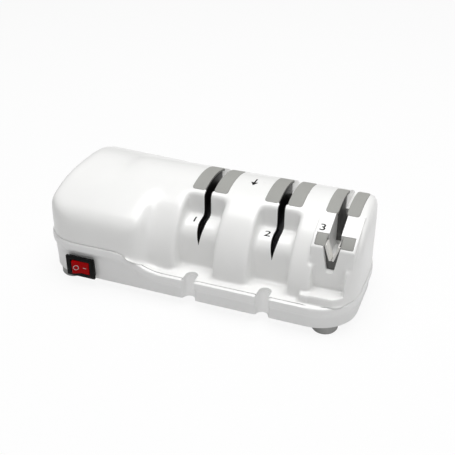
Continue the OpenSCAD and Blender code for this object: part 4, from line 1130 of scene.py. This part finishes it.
# %% Finishes of the inner pieces
finishes.update({
    "zinc_steel": finish("zinc_plated_steel", (0.62, 0.63, 0.65), (0.5, 0.5, 0.5), (0.25, 0.5), 1),
    "ground_steel": finish("ground_steel", (0.66, 0.66, 0.67), (0.56, 0.56, 0.57), (0.15, 0.35), 1,
                           (12, 1, 1)),
    "lamination_steel": finish("laminated_steel", (0.4, 0.41, 0.43), (0.16, 0.16, 0.17), (0.3, 0.6), 1,
                               (1, 0.02, 0.02), 1500, 0.3, 0.9),
    "copper": finish("enamelled_copper", (0.65, 0.25, 0.1), (0.35, 0.11, 0.04), (0.2, 0.45), 1,
                     (1, 0.06, 0.06), 2200, 0.4, 0.9),
    "cast_alloy": finish("cast_alloy", (0.58, 0.58, 0.59), (0.46, 0.46, 0.47), (0.4, 0.65), 1,
                         fineness=1200, relief=0.15, by_grain=0.4),
    "bronze": finish("sintered_bronze", (0.5, 0.3, 0.12), (0.36, 0.2, 0.08), (0.4, 0.6), 1, by_grain=0.6),
    "abrasive": finish("abrasive_coating", (0.42, 0.42, 0.43), (0.14, 0.14, 0.15), (0.45, 0.9), 0.6,
                       fineness=6000, relief=0.6, by_grain=0.9),
    "terminal_brass": finish("tinned_brass", (0.72, 0.55, 0.26), (0.6, 0.43, 0.18), (0.25, 0.45), 1,
                             (1, 1, 12)),
    "terminal_cream": finish("cream_nylon", (0.75, 0.7, 0.58), (0.7, 0.64, 0.52), (0.35, 0.5)),
    "inner_black": finish("black_nylon", (0.03, 0.03, 0.03), (0.018, 0.018, 0.018), (0.4, 0.6),
                          relief=0.08),
    "lead_brown": finish("brown_insulation", (0.1, 0.04, 0.015), (0.08, 0.03, 0.012), (0.4, 0.6)),
    "lead_blue": finish("blue_insulation", (0.02, 0.08, 0.42), (0.015, 0.06, 0.34), (0.4, 0.6)),
    "lead_black": finish("black_insulation", (0.02, 0.02, 0.02), (0.012, 0.012, 0.012), (0.4, 0.6)),
})
slot_of = {row["node"]: row["material_slot"] for row in frame["record"]["subparts"]}
for node, slot in slot_of.items():
    for place in nodes[node].material_slots:
        place.material = finishes[slot]
print("finishes:", len(finishes) + 2, "on", len(slot_of), "nodes")

# %% [markdown]
# Each new piece takes its finish by slot, stands for its node and rides on its body. Curved faces are
# shaded smooth, and sharp edges stay crisp.

# %% Pieces to their nodes and bodies
def fit(piece, body, slot, replaced=None, material=None):
    only(piece)
    bpy.ops.object.shade_smooth_by_angle(angle=math.radians(SHARP))
    piece.data.materials.clear()
    piece.data.materials.append(material or finishes[slot])
    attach(piece, body)
    if replaced:
        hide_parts(replaced)


def grey(piece):
    return "pad_grey" if "pad" in piece.name else "third_stage_grey"


housing.name = "upper_housing_finished"
base.name = "lower_base_finished"
fit(housing, "root", "housing_white", "upper_housing")
fit(base, "root", "base_white", "lower_base")
for node, piece in pieces.items():
    fit(piece, "rocker" if node == "switch_rocker" else "root", slot_of[node], node)
for piece in guide:
    fit(piece, "root", grey(piece), "stage_3_rear_guide")
for piece in vee_pieces:
    fit(piece, "root", grey(piece), "stage_3_ceramic_holder")
for piece in edgings:
    fit(piece, "root", "lining_black")
for piece in marks:
    fit(piece, "root", "inner_black", material=ink)
for piece in (ring, bar):
    fit(piece, "rocker", "rocker_red", material=chalk)
print("fitted:", len(pieces) + len(guide) + len(vee_pieces) + len(edgings) + len(marks) + 4, "pieces")

# %% [markdown]
# Each floating wheel is pressed along the shaft by a spring wound from round wire, which shortens towards
# its clip when a blade parts the wheels.
# Here each spring is the frame's, with broken edges, riding on the shaft with a mesh of its own.

# %% Springs
for number in SLOTS:
    node, joint = "stage_%d_spring" % number, "stage_%d_float_slide" % number
    spring = softened(node, 0.12)
    fit(spring, "shaft", slot_of[node], node)
    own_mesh(spring)
